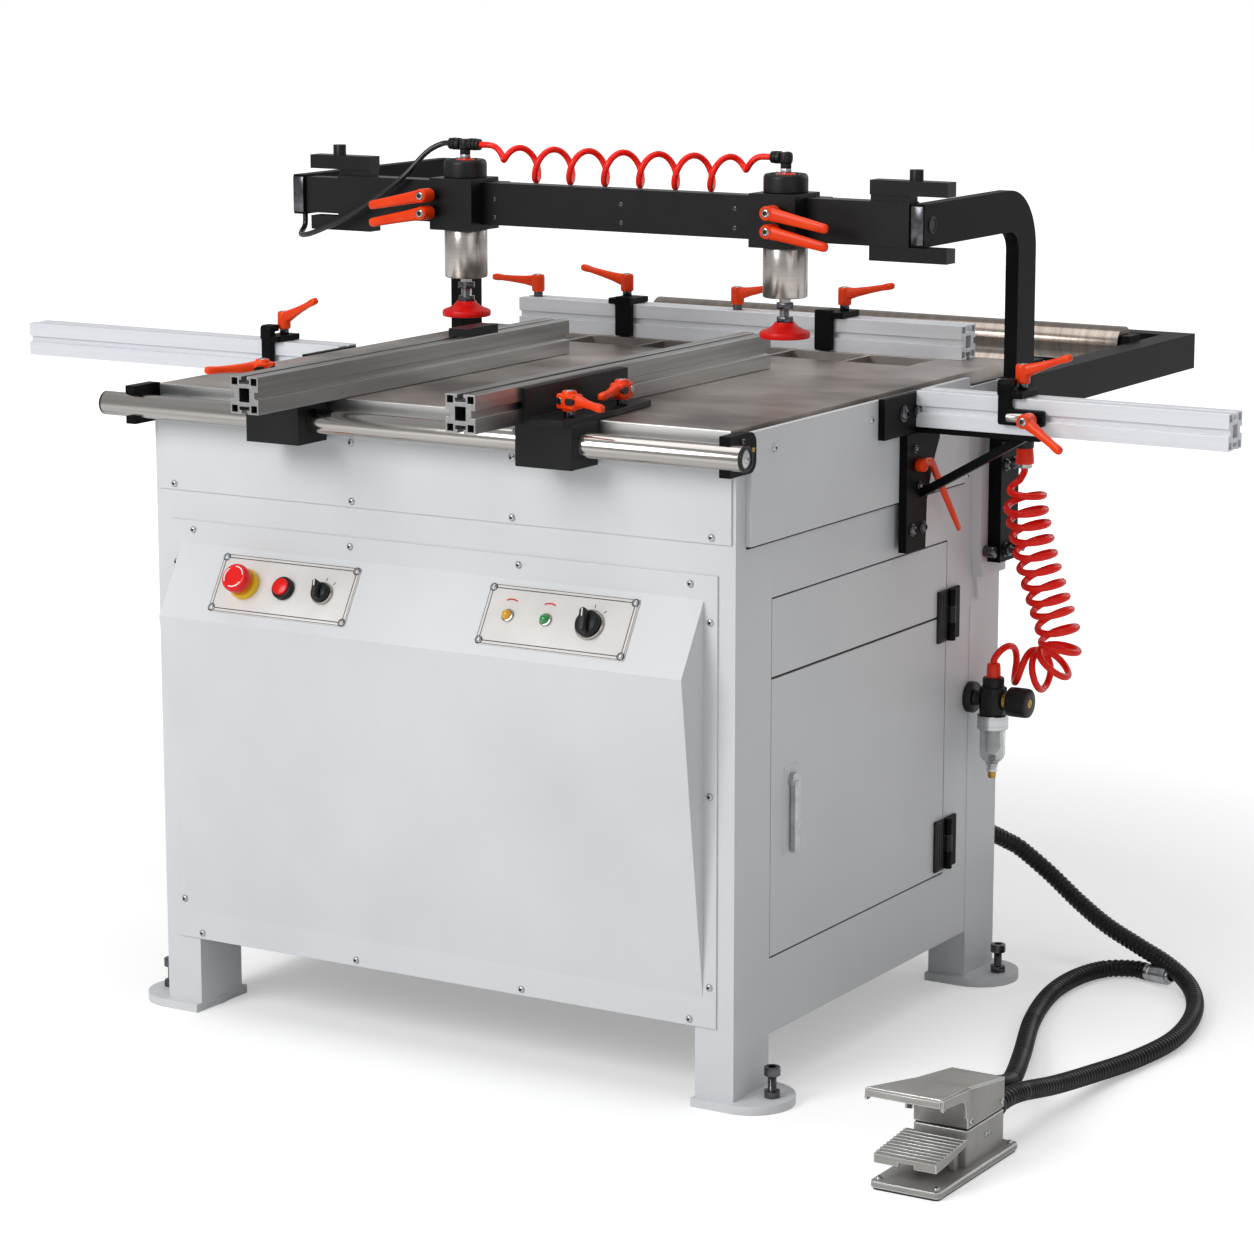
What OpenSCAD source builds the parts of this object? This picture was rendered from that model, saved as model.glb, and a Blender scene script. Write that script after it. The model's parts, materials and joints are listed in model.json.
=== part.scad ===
// Single-row line boring machine: cabinet, work table, sliding fences,
// pneumatic hold-down beam, rear roller frame and foot pedal.
// Machine frame used below: X across the front, Y from the front legs
// towards the back, Z up from the floor. place() then centres the part.

/* [Cabinet] */
// Width across the outer faces of the legs
cabinet_w = 930; // [880:5:1000]
// Depth from the front legs to the back of the rear legs
cabinet_d = 777; // [745:1:820]
// Height of the work table's top
table_h = 900; // [860:5:950]
// Width of one leg
leg_w = 58; // [48:1:70]
// Depth of one leg
leg_d = 95; // [85:1:105]
// Wall of the leg tubes
leg_wall = 4; // [3:0.5:8]
// Thickness of the foot plates
foot_t = 12; // [8:1:18]
// Width of the foot plates, which is also their round end's diameter
foot_w = 119; // [110:1:130]
// Thickness of the sheet panels
panel_t = 3; // [2:0.5:5]
// Thickness of the side skirts
skirt_t = 8; // [5:0.5:10]
// Height of the side skirts
skirt_h = 148; // [130:1:160]
// Width of the front cover's wedge
cover_w = 840; // [780:5:850]
// How far the front cover's crease stands out
cover_depth = 60; // [45:1:90]
// Side panel left between the side door and the rear leg
door_margin = 79; // [57:1:117]
// Height of the side door
door_h = 482; // [420:1:484]
// Gap around the side door
door_gap = 2; // [1:0.5:3]

/* [Table and drilling head] */
// Thickness of the table plate
table_t = 20; // [14:1:26]
// Width of the slot that the drill bits come up through
drill_slot_w = 90; // [70:1:100]
// Distance between spindles
spindle_pitch = 32; // [30:1:32]
// Number of spindles
spindle_count = 21; // [17:2:21]
// Diameter of the drill bits
bit_d = 8; // [5:1:10]
// Diameter of the drill chucks
chuck_d = 20; // [16:1:22]
// Feed stroke of the drilling head
feed_stroke = 60; // [40:1:60]

/* [Fences] */
// Width of the fence profile
profile_w = 45; // [40:1:50]
// Height of the fence profile
profile_h = 50; // [45:1:60]
// Mouth of the profile's T-slots
slot_w = 9; // [6:0.5:10]
// Length of the two table fences
fence_len = 765; // [700:5:800]
// Place of the left table fence's middle
left_fence_x = -162.5; // [-170:0.5:-150]
// Place of the right table fence's middle
right_fence_x = 176; // [165:0.5:190]
// Diameter of the front guide rail
rail_d = 33; // [28:1:36]
// Length of the left side fence
left_arm_len = 597; // [500:1:700]
// Length of the right side fence
right_arm_len = 457; // [400:1:560]
// Front face of the side fences behind the front legs
side_fence_y = 467; // [455:1:475]

/* [Hold-down press] */
// Clear height from the table to the beam
beam_gap = 200; // [190:1:240]
// Height of the beam
beam_h = 60; // [56:1:70]
// Depth of the beam
beam_d = 30; // [26:1:36]
// Front face of the beam behind the front legs
beam_y = 410; // [395:1:420]
// Thickness of the two arms
arm_t = 20; // [14:1:24]
// Gap between the cabinet's side and the arms
arm_standoff = 35; // [30:1:45]
// Width of the clamping carriages
carriage_w = 72; // [66:1:80]
// Middle of the left carriage
left_press_x = -222; // [-226:1:-222]
// Middle of the right carriage
right_press_x = 303; // [290:1:310]
// Diameter of the press cylinders
cylinder_d = 62; // [54:1:66]
// Length of the press cylinders
cylinder_h = 70; // [66:1:76]
// Diameter of the piston rods
rod_d = 16; // [12:1:18]
// Diameter of the press pads
pad_d = 70; // [56:1:72]
// Stroke of the press pads
press_stroke = 50; // [30:1:50]

/* [Rear roller frame] */
// Rear edge of the frame behind the cabinet
frame_reach = 670; // [620:5:720]
// Width of the frame's tubes
frame_w = 40; // [30:1:44]
// Height of the frame's tubes
frame_h = 55; // [45:1:60]
// Diameter of the rollers
roller_d = 56; // [46:1:60]
// Diameter of the roller shafts
shaft_d = 15; // [10:1:18]

/* [Controls and clamp levers] */
// Width of the control plates
plate_w = 230; // [210:1:240]
// Height of the control plates
plate_h = 86; // [78:1:92]
// Length of the short clamp levers
lever_len = 78; // [70:1:84]
// Length of the carriage clamp levers
long_lever_len = 88; // [78:1:92]
// Diameter of the lever hubs
hub_d = 20; // [16:1:22]

/* [Air lines] */
// Tube of the supply coil
coil_tube_d = 10; // [8:0.5:10]
// Outer diameter of the supply coil
coil_od = 64; // [56:1:66]
// Curls of the supply coil
coil_turns = 14; // [13:1:15]
// Tube of the coil on the beam
beam_tube_d = 9; // [7:0.5:9]
// Outer diameter of the coil on the beam
beam_coil_od = 54; // [46:1:58]
// Curls of the coil on the beam
beam_coil_turns = 8; // [6:1:9]
// Diameter of the black air tube
air_tube_d = 8; // [6:0.5:9]
// Outer diameter of the pedal hoses
hose_d = 26; // [22:1:26]
// Ribs on each pedal hose
hose_ribs = 60; // [40:1:70]

/* [Foot pedal] */
// Width of the pedal's base
pedal_w = 96; // [92:1:108]
// Length of the pedal's base
pedal_len = 228; // [220:1:244]
// Height of the pedal's hood at its front
pedal_h = 133; // [126:1:140]
// Height of the pedal's hood at its back
pedal_back_h = 103; // [98:1:112]

/* [Hidden] */
$fn = 48;
// Clearance of sliding faces
slide_gap = 0.3;
// Radial clearance of shafts in their bores
run_gap = 0.05;

white = "gainsboro";
black = "#26272a";
orange = "orangered";
bare_steel = "lightslategray";
alloy = "lightgray";

// Half the cabinet and the underside of the table
hw = cabinet_w / 2;
table_under = table_h - table_t;
table_w = cabinet_w - 18;
table_front = 2;
wall_z = 80;

// Drilling head, on guide columns behind the table's middle
drill_inset = 35;
drill_y = cabinet_d - drill_inset;
drill_slot_len = (spindle_count + 1) * spindle_pitch;
drill_half_d = 27;
column_d = 24;
column_gap = 30;
column_x = (spindle_count - 1) * spindle_pitch / 2 + column_gap;
drill_base_z = 400;
drill_base_h = 40;
head_drop = 240;
head_z = table_under - head_drop;
head_h = 160;
chuck_h = 38;
bit_h = 52;
head_half_w = column_x + 22;
rib_w = 8;
rib_h = 12;
rib_places = [for (k = [3.5, 7.5]) k * spindle_pitch];
feed_x = 120;
feed_barrel_d = 50;
feed_barrel_h = 150;
feed_rod_d = 16;
motor_x = -120;
motor_d = 120;
motor_h = 170;
motor_inset = 40;
motor_y = drill_y - motor_inset;

// Front cover
cover_top = table_h - 215.5;
cover_crease = table_h - 316;
cover_bottom = 126;
flange_side = 20;
flange_top = 27;
flange_bottom = 18;
apron_h = 127;
apron_w = cabinet_w - 10;
header_t = 4;
header_z = cover_top + 5;
slope_len = norm([cover_depth, cover_top - cover_crease]);
slope_angle = atan2(cover_top - cover_crease, cover_depth);
control_s = slope_len / 2;

// Skirts, door and hinges
skirt_y = 25;
skirt_len = cabinet_d - 147;
skirt_z = table_h - 4 - skirt_h;
door_y = leg_d + door_gap;
door_w = cabinet_d - 2 * leg_d - door_margin;
door_z = 186;
hinge_r = 6;
hinge_x = hw + hinge_r;
hinge_y = door_y + door_w + 6;
hinge_h = 74;
hinge_places = [door_z + 6, door_z + door_h - 68 - hinge_h];
leaf_t = 4;
leaf_w = 28;
pin_r = 3;
latch_y = door_y + 54;
latch_h = 110;
latch_z = 428;

// Front rail, its brackets and the blocks that ride on it
rail_y = -42;
rail_z = table_h - 27;
rail_left = hw + 49;
rail_right = hw + 35;
bracket_t = 16;
block_w = 86;
block_d = 65;
block_h = 57.5;
block_y = rail_y - 32;
block_shift = 46;
left_boss_d = 24;
left_boss_h = 13;
fence_z = table_h + 0.5;
fence_front = -196;
angle_t = 8;
angle_h = 47;
right_angle_y = -88;
right_angle_len = 250;
left_angle_y = -98;
left_angle_len = 150;
angle_w = 55;

// Fixed fences
rear_fence_y = drill_y + drill_slot_w / 2 + 3;
rear_fence_left = -370;
rear_fence_right = 392;
table_back = rear_fence_y + profile_w + 5;
side_fence_x = hw + skirt_t + 10;
side_fence_z = table_h - profile_h;
side_stop_w = 18;
rear_stop_w = 27;
stop_t = 11;
stop_plate_t = 9;

// Press beam and arms
beam_z = table_h + beam_gap;
beam_top = beam_z + beam_h;
arm_x = hw + arm_standoff;
arm_h = beam_h - 2;
arm_z = beam_z + (beam_h - arm_h) / 2;
arm_bend = 28;
right_post_y = cabinet_d - 72;
left_post_y = cabinet_d + 48;
post_z = 625;
lap_z = 800;
lap_h = 50;
seat_top = 770;
seat_plate_t = 5;
beam_left = arm_x - 60;
beam_right = arm_x - 3;
beam_wall = 4;
hinge_plate_t = 20;
hinge_plate_d = 26;
right_hinge_w = 117;
left_hinge_w = 106;
hinge_lift = 9;
beam_pin_d = 19;
press_y = beam_y + 10;
carriage_front = beam_y - 30;
carriage_back = beam_y + beam_d + 12;
carriage_z = beam_z - 8;
carriage_top = beam_top + 6;
cap_h = 27;
fitting_h = 20;
fitting_d = 14;
tee_len = 52;
elbow_len = 22;
cylinder_z = carriage_z - cylinder_h;
foot_rod_h = 34;
pad_h = 22;
pad_z = cylinder_z - foot_rod_h - pad_h;
rod_grip = press_stroke + 8;
lever_pitch = 25;
left_lever_dx = -30;
right_lever_dx = 9;

// Clamp levers
stem_d = 14;
stem_h = 8;
hub_h = 26;
lever_rise = 12;
lever_droop = 8;
side_lever_rise = [27, 19];
lever_t = 9;
lever_tip_d = 11;
lever_seat = 0.2;

// Roller frame
frame_out = hw + 15;
frame_in = frame_out - frame_w;
frame_top = table_h - 22;
frame_rear = cabinet_d + frame_reach;
roller_z = table_h - roller_d / 2;
front_roller_back = 171;
rear_roller_back = 526;
roller_places = [cabinet_d + front_roller_back, cabinet_d + rear_roller_back];
bearing_t = 15;
bearing_w = 40;
roller_half = frame_in - bearing_t - 3;

// Air regulator on the rear leg
reg_y = cabinet_d - leg_d + 1;
reg_z = 430;
reg_x = hw + 39;
reg_nut_top = reg_z + 54;
bowl_d = 37;
collar_ring_d = 45;
bowl_top = reg_z - 43;
bowl_h = 52;
bowl_wall = 2.5;
knob_x = reg_x + 26;
knob_h = 32;
knob_d = 43;

// Foot pedal, standing on the floor to the right
pedal_x = 805;
pedal_y = -175;
pedal_base_h = 12;
pedal_box_w = 76;
pedal_box_y = 98;
pedal_box_len = 106;
pedal_joint_z = 62;
gland_d = 32;
gland_h = 12;
hood_front_y = -6;
hood_front_w = 102;
hood_t = 4;
hood_slope = atan((pedal_h - pedal_back_h) / (pedal_box_y + pedal_box_len - hood_front_y));
tread_w = 86;
tread_axis_y = 86;
tread_axis_z = 42;
tread_front_y = 2;
tread_t = 7;
tread_pin_d = 6;
tread_post_d = 12;

// Centre of the footprint, moved to the origin
row_shift = [
    -(side_fence_x + right_arm_len - side_fence_x - left_arm_len) / 2,
    -(fence_front + frame_rear) / 2,
    0
];

// Route of the first pedal hose, from the cabinet's back to the pedal
hose_gap = 0.8;
hose_end_y = pedal_y + pedal_box_y + pedal_box_len + gland_h + hose_gap;
hose_start_x = hw - 29;
hose_start_y = cabinet_d + 19;
hose_route = [
    [hose_start_x, hose_start_y, 197], [hose_start_x, hose_start_y + 16, 197],
    [hose_start_x + 5, hose_start_y + 33, 190], [hose_start_x + 16, hose_start_y + 52, 178],
    [468, 864, 164], [508, 882, 127], [560, 873, 93], [612, 858, 68],
    [668, 846, 48], [720, 831, 32], [767, 797, 19], [807, 732, 13],
    [838, 640, 13], [852, 540, 13], [842, 440, 13], [830, 340, 20],
    [826, 220, 36], [826, 126, 54], [pedal_x + 21, hose_end_y + 39, 60],
    [pedal_x + 21, hose_end_y, 60]
];
// Route of the second pedal hose, from the pedal to its coupling
spare_route = [
    [pedal_x - 21, hose_end_y, 66], [pedal_x - 21, hose_end_y + 35, 66],
    [782, 126, 54], [768, 205, 36],
    [718, 344, 24], [648, 527, 14], [614, 660, 13], [610, 755, 13],
    [628, 818, 13], [664, 842, 13], [690, 836, 13]
];
coupling_end = [734, 818, 17];
// Axis of the supply coil, out from the cabinet's rear corner
coil_bends = [
    [95, -123, 774], [95, -123, 756], [97, -120, 717], [109, -106, 641],
    [128, -91, 565], [136, -84, 531], [136, -82, 513], [130, -79, 496],
    [119, -76, 483], [103, -72, 475], [84, -67, 477], [58, -72, 482]
];
coil_r = (coil_od - coil_tube_d) / 2;
coil_tuck = 7;
coil_foot = [reg_x, reg_y, reg_nut_top + slide_gap];
coil_axis = concat(
    [for (p = coil_bends) [hw + p[0], cabinet_d + p[1], p[2]]],
    [coil_foot + [-1.7, coil_r - coil_tuck, 4]]);
// Share of the curls wound by a share of the axis
coil_knots = [[0, 0], [0.09, 0.0276], [0.575, 0.6345], [0.845, 0.8966], [1, 1]];
coil_plate_z = 820;
coil_plate_t = 8;
coil_plate_edge = 4;
coil_plate_lap = 35;
coupling_d = 24;
coupling_h = 15;
coil_nut_d = 18;
// Route of the black tube, from the left carriage to the arm's end
air_route = [
    [-248.3, 420, 1213], [-262, 420, 1212], [-284, 412, 1199],
    [-315, 396, 1163], [-358, 390, 1132], [-404, 390, 1105],
    [-450, 390, 1085], [-482, 394, 1074], [-506, 408, 1072],
    [-510, 424, 1084], [-510, 425, arm_z - 0.2]
];

// Helpers

module place() {
    translate(row_shift) children();
}

module both_sides() {
    children();
    mirror([1, 0, 0]) children();
}

// A drawing in Y and Z, carried along X
module along_x(length) {
    rotate([90, 0, 90]) linear_extrude(length) children();
}

// A drawing in X and Z, carried along Y
module along_y(length) {
    translate([0, length, 0]) rotate([90, 0, 0]) linear_extrude(length) children();
}

module rod_x(d, length) {
    rotate([0, 90, 0]) cylinder(d = d, h = length);
}

// A point on the cover's sloping face, x across and s down the slope
module on_slope(x, s) {
    share = s / slope_len;
    translate([x, -cover_depth * share, cover_top - (cover_top - cover_crease) * share])
        rotate([slope_angle, 0, 0]) children();
}

function smooth(x) = let (c = min(1, max(0, x))) c * c * (3 - 2 * c);
function unit(v) = v / norm(v);
function catmull(a, b, c, d, t) =
    (2 * b + (c - a) * t + (2 * a - 5 * b + 4 * c - d) * t * t
    + (3 * b - a - 3 * c + d) * t * t * t) / 2;
function pick(p, i) = p[min(len(p) - 1, max(0, i))];
function spline_at(p, u) =
    let (i = min(len(p) - 2, floor(u)))
    catmull(pick(p, i - 1), p[i], p[i + 1], pick(p, i + 2), u - i);
// Share of the route's length up to each of its points
function lengths(p) = [for (i = 0, s = 0; i < len(p);
    s = i + 1 < len(p) ? s + norm(p[i + 1] - p[i]) : s, i = i + 1) s];
function find(s, x, i) = i >= len(s) - 2 || s[i + 1] >= x ? i : find(s, x, i + 1);
function spline_by_length(p, s, x) =
    let (i = find(s, x, 0))
    spline_at(p, i + min(1, max(0, (x - s[i]) / (s[i + 1] - s[i]))));
function even_route(p, n) =
    let (s = lengths(p), all = s[len(s) - 1])
    [for (i = [0 : n]) spline_by_length(p, s, all * i / n)];
function tangents(p) =
    [for (i = [0 : len(p) - 1]) unit(pick(p, i + 1) - pick(p, i - 1))];
function square_to(t) =
    unit(abs(t[0]) < 0.8 ? cross(t, [1, 0, 0]) : cross(t, [0, 1, 0]));
function carried(t) = [for (i = 0, u = square_to(t[0]); i < len(t);
    i = i + 1, u = i < len(t) ? unit(u - (u * t[i]) * t[i]) : u) u];
function ring(c, u, v, r, sides) =
    [for (k = [0 : sides - 1]) c + r * (cos(360 * k / sides) * u + sin(360 * k / sides) * v)];
function rings(p, r, sides) =
    let (t = tangents(p), u = carried(t))
    [for (i = [0 : len(p) - 1]) each ring(p[i], u[i], cross(t[i], u[i]), r[i], sides)];
function wall_faces(n, sides, first) = [
    for (i = [0 : n - 2]) for (k = [0 : sides - 1])
        let (a = first + i * sides + k, b = first + i * sides + (k + 1) % sides)
        each [[a, a + sides, b + sides], [a, b + sides, b]]
];
function flipped(faces) = [for (f = faces) [f[0], f[2], f[1]]];
function fan(first, sides) = [for (k = [1 : sides - 2]) [first, first + k, first + k + 1]];
function annulus(a, b, sides) = [
    for (k = [0 : sides - 1])
        let (m = (k + 1) % sides)
        each [[a + k, a + m, b + m], [a + k, b + m, b + k]]
];
// Least gap of a tube to itself, between points at least skip apart
function self_gap(p, d, skip) = min([
    for (i = [0 : len(p) - 1]) for (j = [i + skip : 1 : len(p) - 1]) norm(p[i] - p[j])
]) - d;

// A closed tube along the points of a route
module tube(p, d, sides) {
    n = len(p);
    points = rings(p, [for (i = p) d / 2], sides);
    faces = concat(
        wall_faces(n, sides, 0),
        fan(0, sides),
        flipped(fan((n - 1) * sides, sides)));
    polyhedron(points, faces, convexity = 8);
}

// A ribbed hose with its bore open at both ends
module ribbed_hose(route, d, ribs) {
    sides = 8;
    n = 2 * ribs + 1;
    outer = even_route(route, n - 1);
    radii = [for (i = [0 : n - 1]) i % 2 == 0 ? d / 2 - 1.6 : d / 2];
    m = ribs + 1;
    inner = [for (i = [0 : m - 1]) outer[2 * i]];
    bore = [for (i = inner) d / 2 - 4];
    first = n * sides;
    last = first + (m - 1) * sides;
    faces = concat(
        wall_faces(n, sides, 0),
        flipped(wall_faces(m, sides, first)),
        flipped(annulus(first, 0, sides)),
        annulus(last, (n - 1) * sides, sides));
    polyhedron(concat(rings(outer, radii, sides), rings(inner, bore, sides)), faces, convexity = 8);
}

// Section of the fence profile, its middle at the origin's height 0
module profile_section() {
    corner = 9;
    wall = 2.5;
    under = slot_w + 7;
    difference() {
        translate([-profile_w / 2, 0]) square([profile_w, profile_h]);
        translate([-8, profile_h / 2 - 9]) square([16, 18]);
        for (top = [0, 1], side = [0, 1]) mirror([side, 0])
            translate([profile_w / 2 - wall - corner, top * (profile_h - 2 * wall - corner) + wall])
                square(corner);
        for (top = [0, 1]) translate([0, top * profile_h]) mirror([0, top]) {
            translate([-slot_w / 2, -1]) square([slot_w, 8]);
            translate([-under / 2, 5]) square([under, 5]);
        }
        for (side = [0, 1]) mirror([side, 0]) {
            translate([profile_w / 2 - 6, profile_h / 2 - slot_w / 2]) square([7, slot_w]);
        }
    }
}

module clamp_lever(length, rise) {
    root_w = hub_d / 2 - 2;
    tip_w = lever_tip_d / 2;
    cylinder(d = stem_d, h = stem_h);
    translate([0, 0, stem_h]) cylinder(d = hub_d, h = hub_h);
    translate([0, 0, stem_h + hub_h / 2 - 2]) rotate([0, -rise, 0]) linear_extrude(lever_t) {
        polygon([[0, root_w], [length, tip_w], [length, -tip_w], [0, -root_w]]);
        translate([length, 0]) circle(d = lever_tip_d);
    }
}

// A lever whose hub stands up from a seat at height z
module lever_up(x, y, z, turn, length, rise = lever_rise) {
    color(orange) place() translate([x, y, z + lever_seat]) rotate([0, 0, turn])
        clamp_lever(length, rise);
}

// A lever whose hub points to the front, from a seat at depth y
module lever_front(x, y, z, turn, length, rise) {
    color(orange) place() translate([x, y - lever_seat, z]) rotate([0, -turn, 0]) rotate([90, 0, 0])
        clamp_lever(length, rise);
}

// A stop that hangs over a fence's front, with a plate for its lever
module fence_stop(flag_x, flag_w, hub_x, front_y, top_z, drop, rise) {
    low = min(flag_x - flag_w / 2, hub_x - 14);
    high = max(flag_x + flag_w / 2, hub_x + 14);
    color(black) place() {
        translate([low, front_y - slide_gap - stop_t, top_z + slide_gap])
            cube([high - low, stop_t + profile_w, stop_plate_t]);
        translate([flag_x - flag_w / 2, front_y - slide_gap - stop_t, top_z - drop])
            cube([flag_w, stop_t, drop + rise]);
    }
}

module dome_screw() {
    rotate_extrude() polygon([[0, 0], [5, 0], [4.6, 1.6], [3.2, 2.8], [0, 3.4]]);
}

// Cabinet

module leg_tube(h) {
    difference() {
        cube([leg_w, leg_d, h]);
        translate([leg_wall, leg_wall, -1]) cube([leg_w - 2 * leg_wall, leg_d - 2 * leg_wall, h + 2]);
    }
}

module foot_plate() {
    linear_extrude(foot_t) {
        translate([0, (leg_d - foot_w) / 2]) square([leg_w, foot_w]);
        translate([leg_w, leg_d / 2]) circle(d = foot_w);
    }
}

// White seats on the rear legs' sides that the arms' posts are bolted to
module right_arm_seat() {
    front = cabinet_d - leg_d;
    back = cabinet_d - 10;
    translate([hw, 0, 0]) {
        along_x(arm_standoff - arm_t) polygon([
            [front, post_z + 15], [front + 8, post_z - 20], [back, post_z - 20],
            [back, seat_top], [front, seat_top]
        ]);
        along_x(seat_plate_t) polygon([
            [front, post_z + 15], [front + 18, post_z - 55], [back - 12, post_z - 55],
            [back, post_z - 25], [back, seat_top], [front, seat_top]
        ]);
    }
}

module left_arm_seat() {
    front = cabinet_d - leg_d + 18;
    translate([-arm_x, front, post_z - 25])
        cube([arm_standoff, left_post_y + arm_h - front, seat_top - post_z + 25]);
}

module guide_column() {
    cylinder(d = column_d, h = table_under - drill_base_z - drill_base_h);
    collar_top = head_z - drill_base_z - drill_base_h;
    translate([0, 0, collar_top - 12]) cylinder(d = column_d + 14, h = 12);
}

module base_frame() {
    low_rail_z = 130;
    rail_h = 40;
    rail_w = 30;
    rear_leg_y = cabinet_d - leg_d;
    span = cabinet_w - 2 * leg_w + 2 * leg_wall;
    color(white) place() {
        both_sides() {
            for (y = [0, rear_leg_y]) translate([hw - leg_w, y, 0]) {
                foot_plate();
                translate([0, 0, foot_t]) leg_tube(table_under - foot_t);
            }
            for (z = [low_rail_z, table_under - rail_h])
                translate([hw - panel_t - rail_w, leg_d - leg_wall, z])
                    cube([rail_w, rear_leg_y - leg_d + 2 * leg_wall, rail_h]);
            translate([column_x, drill_y, drill_base_z + drill_base_h]) guide_column();
        }
        translate([-span / 2, 0, header_z]) cube([span, header_t, table_under - header_z]);
        for (y = [leg_d / 2, rear_leg_y + leg_d / 2])
            translate([-span / 2, y - rail_w / 2, low_rail_z]) cube([span, rail_w, rail_h]);
        translate([-span / 2, drill_y - drill_half_d, drill_base_z])
            cube([span, 2 * drill_half_d, drill_base_h]);
        translate([feed_x, drill_y, drill_base_z + drill_base_h]) difference() {
            cylinder(d = feed_barrel_d, h = feed_barrel_h);
            translate([0, 0, 20]) cylinder(r = feed_rod_d / 2 + run_gap, h = feed_barrel_h);
        }
    }
}

module levelling_bolt() {
    cylinder(d = 24, h = 10, $fn = 6);
    cylinder(d = 12, h = 34);
    translate([0, 0, 30]) cylinder(d = 22, h = 12);
}

module fasteners() {
    face = -panel_t;
    low_z = table_under - apron_h + 8;
    flange_x = cover_w / 2 + flange_side / 2;
    color("silver") place() {
        both_sides() for (y = [leg_d / 2, cabinet_d - leg_d / 2])
            translate([hw + 32, y, foot_t]) levelling_bolt();
        for (p = [[-apron_w / 2 + 29, low_z], [-130, low_z], [128, low_z], [apron_w / 2 - 29, low_z],
                [-130, low_z + 80], [128, low_z + 80]])
            translate([p[0], face, p[1]]) rotate([90, 0, 0]) dome_screw();
        for (x = [-400, -134, 138, 400], z = [cover_top + 14, cover_bottom - 9])
            translate([x, face, z]) rotate([90, 0, 0]) dome_screw();
        for (x = [-flange_x, flange_x], z = [cover_top - 34, cover_top - 264, cover_bottom + 38])
            translate([x, face, z]) rotate([90, 0, 0]) dome_screw();
        both_sides() for (p = [[60, skirt_h - 27], [329, skirt_h - 24], [skirt_len - 8, 9]])
            translate([hw + skirt_t, skirt_y + p[0], skirt_z + p[1]]) rotate([0, 90, 0]) dome_screw();
    }
}

module side_wall() {
    translate([hw - panel_t, leg_d, wall_z])
        cube([panel_t, cabinet_d - 2 * leg_d, table_under - wall_z]);
}

module cabinet_panels() {
    color(white) place() {
        mirror([1, 0, 0]) side_wall();
        difference() {
            side_wall();
            translate([hw - panel_t - 1, door_y - door_gap - 1, door_z - door_gap])
                cube([panel_t + 2, door_w + 2 * door_gap + 1, door_h + 2 * door_gap]);
        }
        translate([leg_w - hw, cabinet_d - panel_t, wall_z])
            cube([cabinet_w - 2 * leg_w, panel_t, table_under - wall_z]);
        translate([-apron_w / 2, -panel_t, table_under - apron_h]) cube([apron_w, panel_t, apron_h]);
        both_sides() translate([hw, skirt_y, skirt_z]) cube([skirt_t, skirt_len, skirt_h]);
        right_arm_seat();
        left_arm_seat();
    }
}

// The cover's wedge in Y and Z, drawn in by inset behind its face
module wedge(inset, back) {
    reach = cover_depth - inset + back;
    up = (cover_top - cover_crease) / cover_depth;
    down = (cover_crease - cover_bottom) / cover_depth;
    polygon([
        [back, cover_crease + up * reach],
        [inset - cover_depth, cover_crease],
        [back, cover_crease - down * reach]
    ]);
}

module front_cover() {
    half = cover_w / 2;
    color(white) place() difference() {
        union() {
            translate([-half, 0, 0]) along_x(cover_w) wedge(0, 0);
            translate([-half - flange_side, -panel_t, cover_bottom - flange_bottom])
                cube([cover_w + 2 * flange_side, panel_t,
                    cover_top - cover_bottom + flange_top + flange_bottom]);
        }
        translate([panel_t - half, 0, 0]) along_x(cover_w - 2 * panel_t) wedge(panel_t * 1.3, 1);
    }
}

module door() {
    knuckle_h = hinge_h / 3;
    color(white) place() {
        difference() {
            translate([hw - panel_t, door_y, door_z]) cube([panel_t, door_w, door_h]);
            translate([hw - panel_t / 2, door_y - 1, door_z + door_h - 107]) cube([panel_t, door_w + 2, 3]);
        }
        translate([hw - panel_t - 14, door_y + 12, door_z + 12]) difference() {
            cube([14, door_w - 24, door_h - 24]);
            translate([-1, 2, 2]) cube([16, door_w - 28, door_h - 28]);
        }
        translate([hw, latch_y - 19, latch_z - latch_h]) cube([2, 38, latch_h + 8]);
        for (z = hinge_places) difference() {
            union() {
                translate([hw, hinge_y - leaf_w - 8, z]) cube([leaf_t, leaf_w, hinge_h]);
                translate([hw, hinge_y - 9, z + knuckle_h + slide_gap])
                    cube([leaf_t, 9, knuckle_h - 2 * slide_gap]);
                translate([hinge_x, hinge_y, z + knuckle_h + slide_gap])
                    cylinder(r = hinge_r, h = knuckle_h - 2 * slide_gap);
            }
            translate([hinge_x, hinge_y, z]) cylinder(r = pin_r + run_gap, h = hinge_h);
        }
    }
}

module door_hinges() {
    knuckle_h = hinge_h / 3;
    color(black) place() for (z = hinge_places) {
        translate([hw, hinge_y + 8, z]) cube([leaf_t, leaf_w - 6, hinge_h]);
        translate([hinge_x, hinge_y, z]) cylinder(r = pin_r, h = hinge_h);
        for (k = [0, 2]) translate([0, 0, z + k * knuckle_h]) {
            translate([hinge_x, hinge_y, 0]) cylinder(r = hinge_r, h = knuckle_h);
            translate([hw, hinge_y, 0]) cube([leaf_t, 9, knuckle_h]);
        }
    }
}

module door_latch() {
    color("dimgray") place() translate([hw + 2 + slide_gap, latch_y, latch_z - 12]) {
        rod_x(22, 7);
        translate([2, -8, 14 - latch_h]) cube([7, 16, latch_h - 14]);
    }
}

// Table and drilling head

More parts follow.
